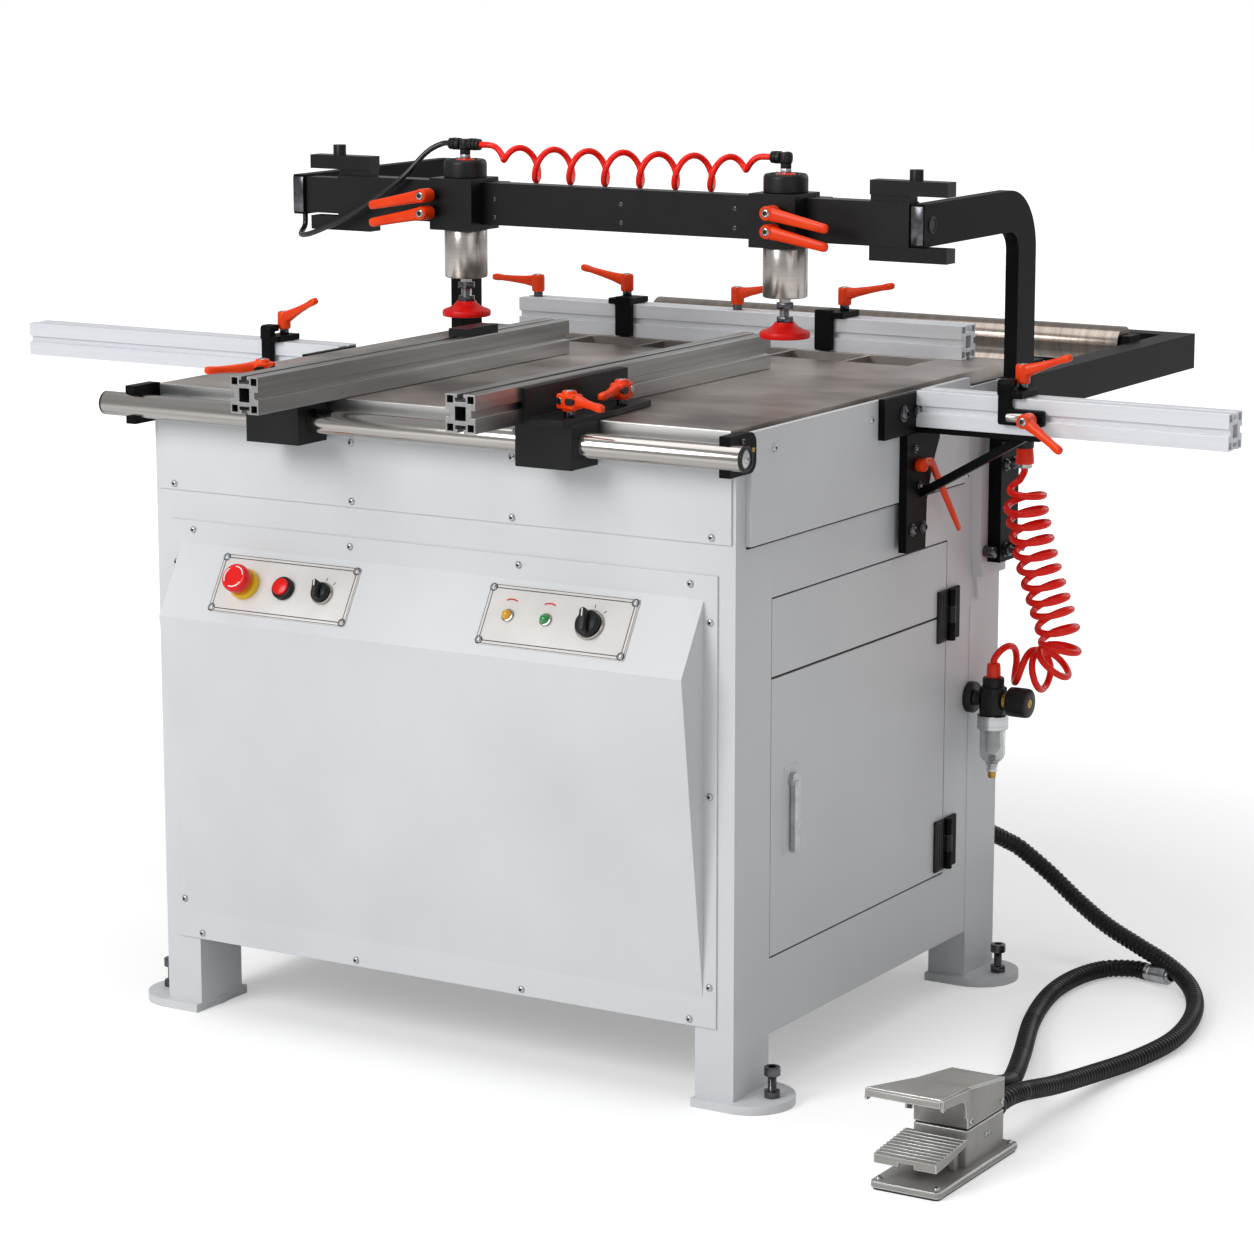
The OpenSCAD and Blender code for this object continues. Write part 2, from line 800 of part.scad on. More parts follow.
module table_top() {
    color(bare_steel) place() {
        difference() {
            translate([-table_w / 2, table_front, table_under])
                cube([table_w, table_back - table_front, table_t]);
            translate([-drill_slot_len / 2, drill_y - drill_slot_w / 2, table_under - 1])
                cube([drill_slot_len, drill_slot_w, table_t + 2]);
        }
        both_sides() for (x = rib_places)
            translate([x - rib_w / 2, drill_y - drill_slot_w / 2 - 1, table_h - 2 - rib_h])
                cube([rib_w, drill_slot_w + 2, rib_h]);
    }
}

module drill_head() {
    rod_h = head_z - drill_base_z - drill_base_h - feed_barrel_h + feed_stroke + 20;
    color("slategray") place() {
        difference() {
            translate([-head_half_w, drill_y - drill_half_d, head_z])
                cube([2 * head_half_w, 2 * drill_half_d, head_h]);
            both_sides() translate([column_x, drill_y, head_z - 1])
                cylinder(r = column_d / 2 + run_gap, h = head_h + 2);
        }
        translate([motor_x, motor_y, head_z - motor_h]) cylinder(d = motor_d, h = motor_h);
        translate([feed_x, drill_y, head_z - rod_h]) cylinder(d = feed_rod_d, h = rod_h);
    }
}

module drill_spindles() {
    first = -(spindle_count - 1) / 2;
    color("gray") place() for (i = [0 : spindle_count - 1])
        translate([(first + i) * spindle_pitch, drill_y, head_z + head_h]) {
            cylinder(d = chuck_d, h = chuck_h);
            translate([0, 0, chuck_h]) cylinder(d = bit_d, h = bit_h);
        }
}

// Front rail and sliding fences

module front_rail() {
    color(bare_steel) place() translate([-rail_left, rail_y, rail_z])
        rod_x(rail_d, rail_left + rail_right);
}

// Saddle that holds the rail from behind, open to the front
module rail_bracket() {
    half_h = rail_d / 2 + 10;
    corner = 16;
    front = rail_y - 2;
    back = skirt_y - 1 - corner;
    low = rail_z - half_h;
    translate([hw, 0, 0]) along_x(bracket_t) difference() {
        union() {
            translate([front, low]) square([back - front, 2 * half_h]);
            translate([back - 1, low + corner]) square([corner + 1, 2 * (half_h - corner)]);
            for (z = [corner, 2 * half_h - corner]) translate([back, low + z]) circle(r = corner);
        }
        translate([rail_y, rail_z]) circle(r = rail_d / 2 + run_gap);
    }
}

// Bracket that carries a side fence: plate, upright, shelf and brace
module fence_bracket() {
    face = hw + skirt_t;
    shelf_z = side_fence_z - 8;
    upright = 12;
    foot_z = table_h - 222;
    translate([face, side_fence_y - 93, shelf_z]) cube([10, 123, profile_h + 6]);
    translate([face, side_fence_y, 0]) along_x(upright) polygon([
        [-29, foot_z], [30, foot_z], [33, foot_z + 67], [48, foot_z + 112],
        [70, shelf_z - 15], [70, shelf_z], [-29, shelf_z]
    ]);
    translate([face, side_fence_y + 3, shelf_z]) cube([194, profile_w - 6, 8]);
    translate([0, side_fence_y + 12, 0]) along_y(20) polygon([
        [face + upright, shelf_z - 92],
        [face + upright, shelf_z - 79],
        [face + 150, shelf_z],
        [face + 172, shelf_z]
    ]);
}

// Plate on the right post with the coupling that the supply coil hangs from
module coil_bracket() {
    end = coil_axis[0];
    seat_z = coil_plate_z - coupling_h;
    front = end[1] - coupling_d / 2 - coil_plate_edge;
    back = right_post_y + coil_plate_lap;
    wide = end[0] + coupling_d / 2 + coil_plate_edge - arm_x - arm_t;
    translate([arm_x + arm_t, front, coil_plate_z]) cube([wide, back - front, coil_plate_t]);
    translate([end[0], end[1], seat_z]) cylinder(d = coupling_d, h = coupling_h);
    translate([end[0], end[1], end[2] + slide_gap]) cylinder(d = coil_nut_d, h = seat_z - end[2]);
}

module brackets() {
    gland = hose_route[0];
    color(black) place() {
        both_sides() {
            rail_bracket();
            fence_bracket();
        }
        coil_bracket();
        translate([gland[0], cabinet_d, gland[2]]) rotate([-90, 0, 0])
            cylinder(d = hose_d + 12, h = gland[1] - cabinet_d - hose_gap);
    }
}

// A table fence, lying along Y over its rail block
module table_fence(x) {
    color(alloy) place() translate([x, fence_front, fence_z]) along_y(fence_len) profile_section();
}

module rail_block(x) {
    translate([x - block_w / 2, block_y, fence_z - block_h]) difference() {
        cube([block_w, block_d, block_h]);
        translate([-1, rail_y - block_y, rail_z - fence_z + block_h])
            rod_x(rail_d + 2 * run_gap, block_w + 2);
    }
}

// Angle on a fence's side, with a tapering foot for the clamp levers
module fence_angle(y, length) {
    translate([profile_w / 2, y, fence_z]) {
        cube([angle_t, length, angle_h]);
        linear_extrude(angle_t) polygon([
            [angle_t - 1, 0], [angle_t + angle_w, 0], [angle_t + angle_w, length / 2],
            [angle_t + angle_w - 10, length - 14], [angle_t - 1, length - 14]
        ]);
    }
}

left_lever_x = left_fence_x - 62;
left_lever_y = -71;

module left_fence() {
    table_fence(left_fence_x);
}

module left_rail_block() {
    color(black) place() {
        rail_block(left_fence_x - block_shift);
        translate([left_lever_x, left_lever_y, fence_z + angle_t - 1])
            cylinder(d = left_boss_d, h = left_boss_h + 1);
        translate([left_fence_x, 0, 0]) mirror([1, 0, 0]) fence_angle(left_angle_y, left_angle_len);
        translate([left_fence_x - 12, 302, fence_z + profile_h]) cube([30, 82, 12]);
    }
}

module right_fence() {
    table_fence(right_fence_x);
}

module right_rail_block() {
    color(black) place() {
        rail_block(right_fence_x + block_shift);
        translate([right_fence_x, 0, 0]) fence_angle(right_angle_y, right_angle_len);
    }
}

module left_fence_lever() {
    lever_up(left_lever_x, left_lever_y, fence_z + angle_t + left_boss_h, -120, lever_len, 0);
}

module right_fence_lever_front() {
    lever_up(right_fence_x + 70, -48, fence_z + angle_t, -12, lever_len - 23, -lever_droop);
}

module right_fence_lever_rear() {
    lever_up(right_fence_x + 70, 82, fence_z + angle_t, -90, lever_len - 28, -lever_droop);
}

// Fixed fences and their stops

module fixed_fences() {
    color(alloy) place() {
        translate([rear_fence_left, rear_fence_y + profile_w / 2, table_h])
            along_x(rear_fence_right - rear_fence_left) profile_section();
        translate([side_fence_x, side_fence_y + profile_w / 2, side_fence_z])
            along_x(right_arm_len) profile_section();
        translate([-side_fence_x - left_arm_len, side_fence_y + profile_w / 2, side_fence_z])
            along_x(left_arm_len) profile_section();
    }
}

clamp_plate_w = 58;
clamp_hub_dx = 44;
left_stop_x = -610;
left_stop_hub_x = -600;
right_stop_x = 620;
right_stop_hub_x = 632;
rear_stop_left_x = -176;
rear_stop_left_hub_x = -188;
rear_stop_right_x = 169;
rear_stop_right_hub_x = 188;
rear_lever_left_x = -349;
rear_lever_right_x = 6;
rear_hub_y = rear_fence_y + profile_w / 2;
side_hub_y = side_fence_y + profile_w / 2;
rear_top = table_h + profile_h;
stop_seat = slide_gap + stop_plate_t;

module left_stop() {
    fence_stop(left_stop_x, side_stop_w, left_stop_hub_x, side_fence_y, table_h, 32, 23);
}

module left_stop_lever() {
    lever_up(left_stop_hub_x, side_hub_y, table_h + stop_seat, 0, lever_len - 14, side_lever_rise[0]);
}

module right_stop() {
    fence_stop(right_stop_x, side_stop_w, right_stop_hub_x, side_fence_y, table_h, 36, 23);
    color(black) place() translate([right_stop_x, side_fence_y - slide_gap - stop_t, table_h - 36])
        cube([clamp_plate_w, stop_t, 22]);
}

module right_stop_lever() {
    lever_up(right_stop_hub_x, side_hub_y, table_h + stop_seat, 0, lever_len - 8, side_lever_rise[1]);
}

module right_clamp_lever() {
    lever_front(right_stop_x + clamp_hub_dx, side_fence_y - slide_gap - stop_t, table_h - 25,
        -31, lever_len - 12, lever_rise);
}

module rear_stop_left() {
    fence_stop(rear_stop_left_x, rear_stop_w, rear_stop_left_hub_x, rear_fence_y, rear_top,
        profile_h - 2, 12);
}

module rear_stop_left_lever() {
    lever_up(rear_stop_left_hub_x, rear_hub_y, rear_top + stop_seat, 180, lever_len);
}

module rear_stop_right() {
    fence_stop(rear_stop_right_x, rear_stop_w, rear_stop_right_hub_x, rear_fence_y, rear_top,
        profile_h - 2, 12);
}

module rear_stop_right_lever() {
    lever_up(rear_stop_right_hub_x, rear_hub_y, rear_top + stop_seat, 0, lever_len);
}

module rear_fence_lever_left() {
    lever_up(rear_lever_left_x, rear_hub_y, rear_top, 180, lever_len, 2);
}

module rear_fence_lever_right() {
    lever_up(rear_lever_right_x, rear_hub_y, rear_top, 0, lever_len);
}

// Long handle on the right fence bracket, turning about X
module bracket_lever() {
    seat = hw + skirt_t + 12 + lever_seat;
    elbow = 30;
    reach = 140;
    color(orange) place() translate([seat, side_fence_y + 3, table_h - 103]) {
        rod_x(18, 14);
        translate([4, 0, -5]) cube([6, elbow, 10]);
        translate([4, elbow, 0]) rotate([-50, 0, 0]) {
            rod_x(10, 6);
            translate([0, 0, -5]) cube([6, reach, 10]);
            translate([0, reach, 0]) rod_x(10, 6);
        }
    }
}

// Hold-down press

module press_arm(post_y, low_z) {
    bend_y = post_y - arm_bend;
    bend_z = arm_z - arm_bend;
    translate([arm_x, beam_y, arm_z]) cube([arm_t, bend_y - beam_y, arm_h]);
    translate([arm_x, bend_y, bend_z]) rotate([90, 0, 90])
        rotate_extrude(angle = 90) translate([arm_bend, 0]) square([arm_h, arm_t]);
    translate([arm_x, post_y, low_z]) cube([arm_t, arm_h, bend_z - low_z]);
}

module press_arms() {
    color(black) place() {
        press_arm(right_post_y, lap_z);
        translate([arm_x - arm_t, right_post_y, post_z]) cube([arm_t, arm_h, lap_z + lap_h - post_z]);
        mirror([1, 0, 0]) press_arm(left_post_y, post_z);
    }
}

// Plates above and below the beam's end, with the hinge pin's ends
module beam_hinge(x, wide, pin_x) {
    y = beam_y + 2;
    top = beam_top + hinge_lift;
    low_x = max(x, -beam_left);
    high_x = min(x + wide, beam_right);
    for (z = [beam_z - hinge_plate_t, top])
        translate([x, y, z]) cube([wide, hinge_plate_d, hinge_plate_t]);
    translate([low_x, y + 3, beam_top]) cube([high_x - low_x, hinge_plate_d - 6, hinge_lift]);
    translate([pin_x, y + hinge_plate_d / 2, top + hinge_plate_t]) cylinder(d = beam_pin_d, h = 15);
}

module press_beam() {
    color(black) place() {
        difference() {
            translate([-beam_left, beam_y, beam_z]) cube([beam_left + beam_right, beam_d, beam_h]);
            translate([-beam_left - 1, beam_y + beam_wall, beam_z + beam_wall])
                cube([beam_left + beam_right + 2, beam_d - 2 * beam_wall, beam_h - 2 * beam_wall]);
        }
        translate([-arm_x, beam_y + 4, beam_z + 4])
            cube([arm_x - beam_left, beam_d - 8, beam_h - 8]);
        beam_hinge(arm_x - 64, right_hinge_w, arm_x);
        beam_hinge(10 - arm_x, left_hinge_w, 54 - arm_x);
    }
}

module carriage(x) {
    color(black) place() difference() {
        union() {
            translate([x - carriage_w / 2, carriage_front, carriage_z])
                cube([carriage_w, carriage_back - carriage_front, carriage_top - carriage_z]);
            translate([x, carriage_back - 12, carriage_top - 14]) cube([carriage_w / 2 + 20, 12, 8]);
        }
        translate([x - carriage_w, beam_y - slide_gap, beam_z - slide_gap])
            cube([2 * carriage_w, beam_d + 2 * slide_gap, beam_h + 2 * slide_gap]);
    }
}

module press_cylinder(x) {
    color("silver") place() {
        translate([x, press_y, cylinder_z]) difference() {
            cylinder(d = cylinder_d, h = cylinder_h);
            translate([0, 0, -1]) cylinder(r = rod_d / 2 + run_gap, h = rod_grip + 5);
        }
        translate([x, press_y, carriage_top]) {
            cylinder(d = cylinder_d, h = cap_h);
            cylinder(d = fitting_d - 2, h = cap_h + fitting_h);
            translate([0, 0, cap_h + fitting_h]) children();
        }
    }
}

module left_carriage() {
    carriage(left_press_x);
}

module right_carriage() {
    carriage(right_press_x);
}

module left_cylinder() {
    press_cylinder(left_press_x) translate([-tee_len / 2, 0, 0]) rod_x(fitting_d, tee_len);
}

module right_cylinder() {
    press_cylinder(right_press_x) translate([-elbow_len, 0, 0]) rod_x(fitting_d, elbow_len + 7);
}

// Piston rod, lock nut and pad
module press_foot(x) {
    color("red") place() translate([x, press_y, pad_z]) {
        rotate_extrude() polygon([
            [0, 0], [pad_d / 2 - 2, 0], [pad_d / 2, 2], [pad_d / 2, 7],
            [pad_d / 2 - 5, 10], [pad_d / 4, 15], [rod_d / 2 + 5, 18],
            [rod_d / 2 + 5, pad_h], [0, pad_h]
        ]);
        translate([0, 0, pad_h]) {
            cylinder(d = rod_d, h = foot_rod_h + rod_grip);
            cylinder(d = rod_d * 1.6, h = 8, $fn = 6);
        }
    }
}

module left_press_foot() {
    press_foot(left_press_x);
}

module right_press_foot() {
    press_foot(right_press_x);
}

lever_mid_z = beam_z + beam_h / 2;

module left_lever_upper() {
    lever_front(left_press_x + left_lever_dx, carriage_front, lever_mid_z + lever_pitch / 2,
        191, long_lever_len, 0);
}

module left_lever_lower() {
    lever_front(left_press_x + left_lever_dx, carriage_front, lever_mid_z - lever_pitch / 2,
        191, long_lever_len, 0);
}

module right_lever_upper() {
    lever_front(right_press_x + right_lever_dx, carriage_front, lever_mid_z + lever_pitch / 2,
        -11, long_lever_len, 0);
}

module right_lever_lower() {
    lever_front(right_press_x + right_lever_dx, carriage_front, lever_mid_z - lever_pitch / 2,
        -11, long_lever_len, 0);
}

// Rear roller frame

module bearing_block(y) {
    low = frame_top - 30;
    translate([frame_in - bearing_t, y - bearing_w / 2, low]) difference() {
        cube([bearing_t, bearing_w, roller_z + shaft_d / 2 + 8 - low]);
        translate([-1, bearing_w / 2, roller_z - low]) rod_x(shaft_d + 2 * run_gap, bearing_t + 2);
    }
}

module roller_frame() {
    low = frame_top - frame_h;
    color("darkslategray") place() {
        both_sides() {
            translate([frame_in, cabinet_d, low]) cube([frame_w, frame_reach, frame_h]);
            for (y = roller_places) bearing_block(y);
        }
        translate([-frame_in, frame_rear - frame_w, low]) cube([2 * frame_in, frame_w, frame_h]);
    }
}

module roller(y) {
    shaft = frame_in - 1;
    color(bare_steel) place() translate([0, y, roller_z]) {
        translate([-roller_half, 0, 0]) rod_x(roller_d, 2 * roller_half);
        translate([-shaft, 0, 0]) rod_x(shaft_d, 2 * shaft);
    }
}

module front_roller() {
    roller(roller_places[0]);
}

module rear_roller() {
    roller(roller_places[1]);
}

// Control plates

plate_places = [194.5 - cover_w / 2, cover_w / 2 - 205.5];
estop_x = plate_places[0] - 64.5;
start_x = plate_places[0] + 1.5;
left_selector_x = plate_places[0] + 65.5;
lamp_places = [plate_places[1] - 75.5, plate_places[1] - 16.5];
right_selector_x = plate_places[1] + 51.5;
plate_t = 2;
collar_h = 10;
button_travel = 5;
collar_d = 44;
estop_stem_d = 18;
estop_r = 20;
start_d = 24;
start_bezel_d = 32;
start_bezel_h = 10;
ring_h = 5;
left_ring_d = 32;
right_ring_d = 42;
selector_stem_d = 12;
selector_d = 28;
big_selector_d = 36;
grip_w = 9;
grip_h = 20;
lamp_r = 9;

module bezel(d, bore, h) {
    difference() {
        cylinder(d = d, h = h);
        translate([0, 0, -1]) cylinder(d = bore, h = h + 2);
    }
}

module control_plates() {
    color("whitesmoke") place() {
        for (x = plate_places) on_slope(x, control_s)
            translate([-plate_w / 2, -plate_h / 2, 0]) cube([plate_w, plate_h, plate_t]);
        on_slope(estop_x, control_s) translate([0, 0, plate_t])
            bezel(collar_d, estop_stem_d + 2 * slide_gap, collar_h);
        on_slope(start_x, control_s) translate([0, 0, plate_t])
            bezel(start_bezel_d, start_d + 2 * slide_gap, start_bezel_h);
        on_slope(left_selector_x, control_s) translate([0, 0, plate_t])
            bezel(left_ring_d, selector_stem_d + 2 * slide_gap, ring_h);
        on_slope(right_selector_x, control_s) translate([0, 0, plate_t])
            bezel(right_ring_d, selector_stem_d + 2 * slide_gap, ring_h);
        for (x = lamp_places) on_slope(x, control_s) translate([0, 0, plate_t]) rotate_extrude()
            polygon([
                [0, 0], [lamp_r, 0], [lamp_r, 3], [lamp_r - 1.5, 4],
                [lamp_r - 2, 7], [lamp_r - 5, 9.5], [0, 10.5]
            ]);
    }
}

module estop_button() {
    lift = plate_t + button_travel + 0.5;
    color("red") place() on_slope(estop_x, control_s) {
        translate([0, 0, lift]) cylinder(d = estop_stem_d, h = collar_h + 2);
        translate([0, 0, lift + collar_h]) rotate_extrude() polygon([
            [0, 0], [estop_r - 3, 0], [estop_r, 3], [estop_r, 12], [estop_r - 2, 15], [0, 17]
        ]);
    }
}

module start_button() {
    color("red") place() on_slope(start_x, control_s)
        translate([0, 0, plate_t + button_travel]) cylinder(d = start_d, h = 9);
}

module selector(x, d) {
    color(black) place() on_slope(x, control_s) {
        translate([0, 0, plate_t + slide_gap]) cylinder(d = selector_stem_d, h = ring_h + 3);
        translate([0, 0, plate_t + ring_h + slide_gap]) {
            cylinder(d = d, h = 6);
            translate([-grip_w / 2, 1 - d / 2, 0]) cube([grip_w, d - 2, grip_h]);
        }
    }
}

module left_selector() {
    selector(left_selector_x, selector_d);
}

module right_selector() {
    selector(right_selector_x, big_selector_d);
}

// Air supply

module regulator_body() {
    color(black) place() translate([0, reg_y, reg_z]) {
        translate([hw, 0, 0]) rod_x(46, 12);
        translate([hw, 0, 0]) rod_x(20, reg_x - hw);
        translate([reg_x, 0, -22]) rotate([0, 0, 22.5]) cylinder(d = 40, h = 44, $fn = 8);
        translate([reg_x, 0, 0]) rod_x(14, knob_x - reg_x);
        translate([reg_x, 0, 22]) cylinder(d = 26, h = 12);
        translate([reg_x, 0, 34]) cylinder(d = 18, h = reg_nut_top - reg_z - 34);
        translate([reg_x, 0, bowl_top - reg_z]) cylinder(d = collar_ring_d, h = reg_z - 22 - bowl_top);
    }
}

module filter_bowl() {
    r = bowl_d / 2;
    inner = r - bowl_wall;
    color("aliceblue") place() translate([reg_x, reg_y, bowl_top]) {
        rotate_extrude() difference() {
            union() {
                translate([0, r - bowl_h]) square([r, bowl_h - r]);
                intersection() {
                    translate([0, r - bowl_h]) circle(r = r);
                    translate([0, -bowl_h]) square([r, r]);
                }
            }
            translate([-1, r - bowl_h]) square([inner + 1, bowl_h]);
        }
        translate([0, 0, -bowl_h - 8]) cylinder(d = 14, h = 10);
        translate([0, 0, -bowl_h - 20]) cylinder(d = 12, h = 12);
    }
}

module regulator_knob() {
    color(black) place() translate([knob_x + slide_gap, reg_y, reg_z]) rod_x(knob_d, knob_h);
}

// Supply coil: it leans out as it hangs, then its curls fan round to the regulator
coil_rings = 8;
coil_n = coil_rings * (coil_turns + 0.5);
coil_side = [0, 1, 0];
function coil_share(t, i) =
    let (a = coil_knots[i], b = coil_knots[i + 1])
    t <= b[0] || i + 2 >= len(coil_knots)
        ? a[1] + (t - a[0]) * (b[1] - a[1]) / (b[0] - a[0])
        : coil_share(t, i + 1);
function coil_phase(t) = -360 * (coil_turns + 0.5) * coil_share(t, 0);
function coil_reach(t) = coil_r * smooth(t / 0.12) - coil_tuck * smooth((t - 0.9) / 0.1);
function coil_line() =
    let (axis = even_route(coil_axis, coil_n), t = tangents(axis))
    concat([for (i = [0 : coil_n])
        let (
            x = i / coil_n,
            u = unit(coil_side - (coil_side * t[i]) * t[i]),
            v = cross(t[i], u),
            a = coil_phase(x))
        axis[i] + coil_reach(x) * (cos(a) * u + sin(a) * v)], [coil_foot]);

module air_coil() {
    line = coil_line();
    color("red") place() tube(line, coil_tube_d, 6);
}

// Coil on the beam, from the left cylinder's tee to the right one's elbow
beam_coil_r = (beam_coil_od - beam_tube_d) / 2;
beam_coil_z = beam_top + beam_coil_od / 2 + 1;
beam_coil_end_z = carriage_top + cap_h + fitting_h;
beam_coil_n = coil_rings * beam_coil_turns;
beam_coil_from = left_press_x + tee_len / 2 + slide_gap;
beam_coil_to = right_press_x - elbow_len - slide_gap;
function beam_coil_ramp(t) = smooth(t / 0.16) * smooth((1 - t) / 0.16);
function beam_coil_line() =
    let (from = beam_coil_from + beam_tube_d, to = beam_coil_to - beam_tube_d)
    concat(
        [[beam_coil_from, press_y, beam_coil_end_z]],
        [for (i = [0 : beam_coil_n])
            let (t = i / beam_coil_n, k = beam_coil_ramp(t), a = 360 * beam_coil_turns * t)
            [from + (to - from) * t,
                press_y + k * beam_coil_r * sin(a),
                beam_coil_end_z + k * (beam_coil_z - beam_coil_end_z + beam_coil_r * cos(a))]],
        [[beam_coil_to, press_y, beam_coil_end_z]]);

module press_air_lines() {
    color("red") place() tube(beam_coil_line(), beam_tube_d, 6);
    color(black) place() tube(even_route(air_route, 30), air_tube_d, 8);
}

echo(air_coil_gap = self_gap(coil_line(), coil_tube_d, 5));
echo(beam_coil_gap = self_gap(beam_coil_line(), beam_tube_d, 5));

// Foot pedal

module hood_shape() {
    back = pedal_box_y + pedal_box_len;
    polygon([
        [-pedal_box_w / 2, back], [-pedal_box_w / 2, pedal_box_y],
        [-hood_front_w / 2, hood_front_y], [hood_front_w / 2, hood_front_y],
        [pedal_box_w / 2, pedal_box_y], [pedal_box_w / 2, back]
    ]);
}

module pedal_body() {
    post_x = tread_w / 2 - 18;
    back = pedal_box_y + pedal_box_len;
    color("darkgray") place() translate([pedal_x, pedal_y, 0]) {
        translate([-pedal_w / 2, 0, 0]) cube([pedal_w, pedal_len, pedal_base_h]);
        translate([-pedal_box_w / 2, pedal_box_y, pedal_base_h])
            cube([pedal_box_w, pedal_box_len, pedal_joint_z - pedal_base_h]);
        translate([-pedal_box_w / 2, 0, 0]) rotate([90, 0, 90]) linear_extrude(pedal_box_w) polygon([
            [pedal_box_y, pedal_joint_z], [back, pedal_joint_z], [back, pedal_back_h - hood_t],
            [pedal_box_y, pedal_back_h - hood_t + pedal_box_len * tan(hood_slope)]
        ]);
        translate([0, back, pedal_back_h - hood_t]) rotate([-hood_slope, 0, 0]) translate([0, -back, 0])
            linear_extrude(hood_t) hood_shape();
        for (end = [hose_route[len(hose_route) - 1], spare_route[0]])
            translate([end[0] - pedal_x, pedal_box_y + pedal_box_len, end[2]]) rotate([-90, 0, 0])
                cylinder(d = gland_d, h = gland_h);
        for (side = [-1, 1]) translate([side * post_x - 4, tread_axis_y - tread_post_d / 2, pedal_base_h])
            difference() {
                cube([8, tread_post_d, tread_axis_z + 4 - pedal_base_h]);
                translate([-1, tread_post_d / 2, tread_axis_z - pedal_base_h])
                    rod_x(tread_pin_d + 2 * run_gap, 10);
            }
    }
}

module pedal_treadle() {
    slope = 5;
    length = tread_axis_y - tread_front_y;
    pin = tread_w - 18;
    color("silver") place() translate([pedal_x, pedal_y + tread_axis_y, pedal_base_h]) {
        translate([-pin / 2, 0, tread_axis_z - pedal_base_h]) rod_x(tread_pin_d, pin);
        translate([0, 0, tread_axis_z - pedal_base_h]) rotate([slope, 0, 0]) {
            translate([-tread_w / 2, -length, 6]) cube([tread_w, length + 5, tread_t]);
            translate([-tread_w / 2, -length, 0]) cube([tread_w, 4, 7]);
            for (y = [8 : 9 : length]) translate([-tread_w / 2, -y, 6 + tread_t]) cube([tread_w, 4, 2]);
            translate([-6, -5, -2]) cube([12, 10, 9]);
        }
    }
}

module pedal_hoses() {
    last = spare_route[len(spare_route) - 1];
    way = unit(coupling_end - last);
    color("dimgray") place() {
        ribbed_hose(hose_route, hose_d, hose_ribs);
        ribbed_hose(spare_route, hose_d, hose_ribs);
        translate(last + 0.2 * way) rotate([0, acos(way[2]), atan2(way[1], way[0])])
            cylinder(d = hose_d, h = norm(coupling_end - last));
    }
}

base_frame();
fasteners();
cabinet_panels();
front_cover();
table_top();
front_rail();
brackets();
press_arms();
press_beam();
fixed_fences();
roller_frame();
regulator_body();
filter_bowl();
air_coil();
control_plates();
pedal_body();
pedal_hoses();
press_air_lines();
door_hinges();
door();
door_latch();
front_roller();
rear_roller();
regulator_knob();
drill_head();
drill_spindles();
pedal_treadle();
estop_button();
start_button();
left_selector();
right_selector();
left_fence();
left_rail_block();
left_fence_lever();
right_fence();
right_rail_block();
right_fence_lever_front();
right_fence_lever_rear();
left_carriage();
left_cylinder();
left_press_foot();
left_lever_upper();
left_lever_lower();
right_carriage();
right_cylinder();
right_press_foot();
right_lever_upper();
right_lever_lower();
left_stop();
left_stop_lever();
right_stop();
right_stop_lever();
right_clamp_lever();
rear_stop_left();
rear_stop_left_lever();
rear_stop_right();
rear_stop_right_lever();
rear_fence_lever_left();
rear_fence_lever_right();
bracket_lever();
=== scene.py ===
import json
import math

import bmesh
import bpy
from mathutils import Matrix, Vector

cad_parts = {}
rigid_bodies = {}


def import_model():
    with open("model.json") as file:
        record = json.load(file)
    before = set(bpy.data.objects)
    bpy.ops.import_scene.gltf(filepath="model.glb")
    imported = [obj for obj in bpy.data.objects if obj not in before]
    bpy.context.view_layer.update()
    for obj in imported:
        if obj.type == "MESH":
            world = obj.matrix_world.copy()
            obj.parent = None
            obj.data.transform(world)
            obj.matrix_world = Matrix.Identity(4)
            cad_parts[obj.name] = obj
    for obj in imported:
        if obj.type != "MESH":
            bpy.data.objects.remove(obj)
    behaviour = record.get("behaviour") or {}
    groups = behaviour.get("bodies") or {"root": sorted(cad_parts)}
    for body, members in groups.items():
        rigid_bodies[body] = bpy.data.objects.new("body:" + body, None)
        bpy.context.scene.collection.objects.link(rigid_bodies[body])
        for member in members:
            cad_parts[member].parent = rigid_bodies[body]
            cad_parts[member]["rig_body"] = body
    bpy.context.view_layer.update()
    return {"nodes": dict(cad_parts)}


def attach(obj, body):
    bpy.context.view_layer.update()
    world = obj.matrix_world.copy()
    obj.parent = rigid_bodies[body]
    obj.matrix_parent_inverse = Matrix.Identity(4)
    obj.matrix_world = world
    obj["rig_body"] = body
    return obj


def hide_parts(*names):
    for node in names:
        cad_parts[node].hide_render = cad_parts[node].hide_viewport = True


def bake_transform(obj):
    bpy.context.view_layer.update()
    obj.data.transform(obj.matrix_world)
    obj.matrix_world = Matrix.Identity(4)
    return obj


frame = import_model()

nodes = frame["nodes"]

# Lengths below are millimetres in the machine frame: X across the front from
# the cabinet's middle, Y back from the front legs, Z up from the floor.
MM = 0.001
TO_ROW = Vector((70.0, -625.5, 0.0))
PRESS_X = {"left": -222, "right": 303}
PRESS_Y = 420
FITTING_Z = 1213
RAIL_Y, RAIL_Z = -42, 873
RAIL_LEFT_X, RAIL_RIGHT_X = -514, 500
PEDAL_X, PEDAL_Y = 805, -175
AIR_UNIT = (504, 683, 430)
COIL_TOP_X, COIL_TOP_Y = 560, 654


def row(point):
    """A point of the machine frame in metres of the row frame."""
    return (Vector(point) + TO_ROW) * MM


def spun(degrees, axis):
    """A turn about one axis."""
    return Matrix.Rotation(math.radians(degrees), 4, axis)


def moved(x, y, z):
    """A shift in mm."""
    return Matrix.Translation(Vector((x, y, z)) * MM)


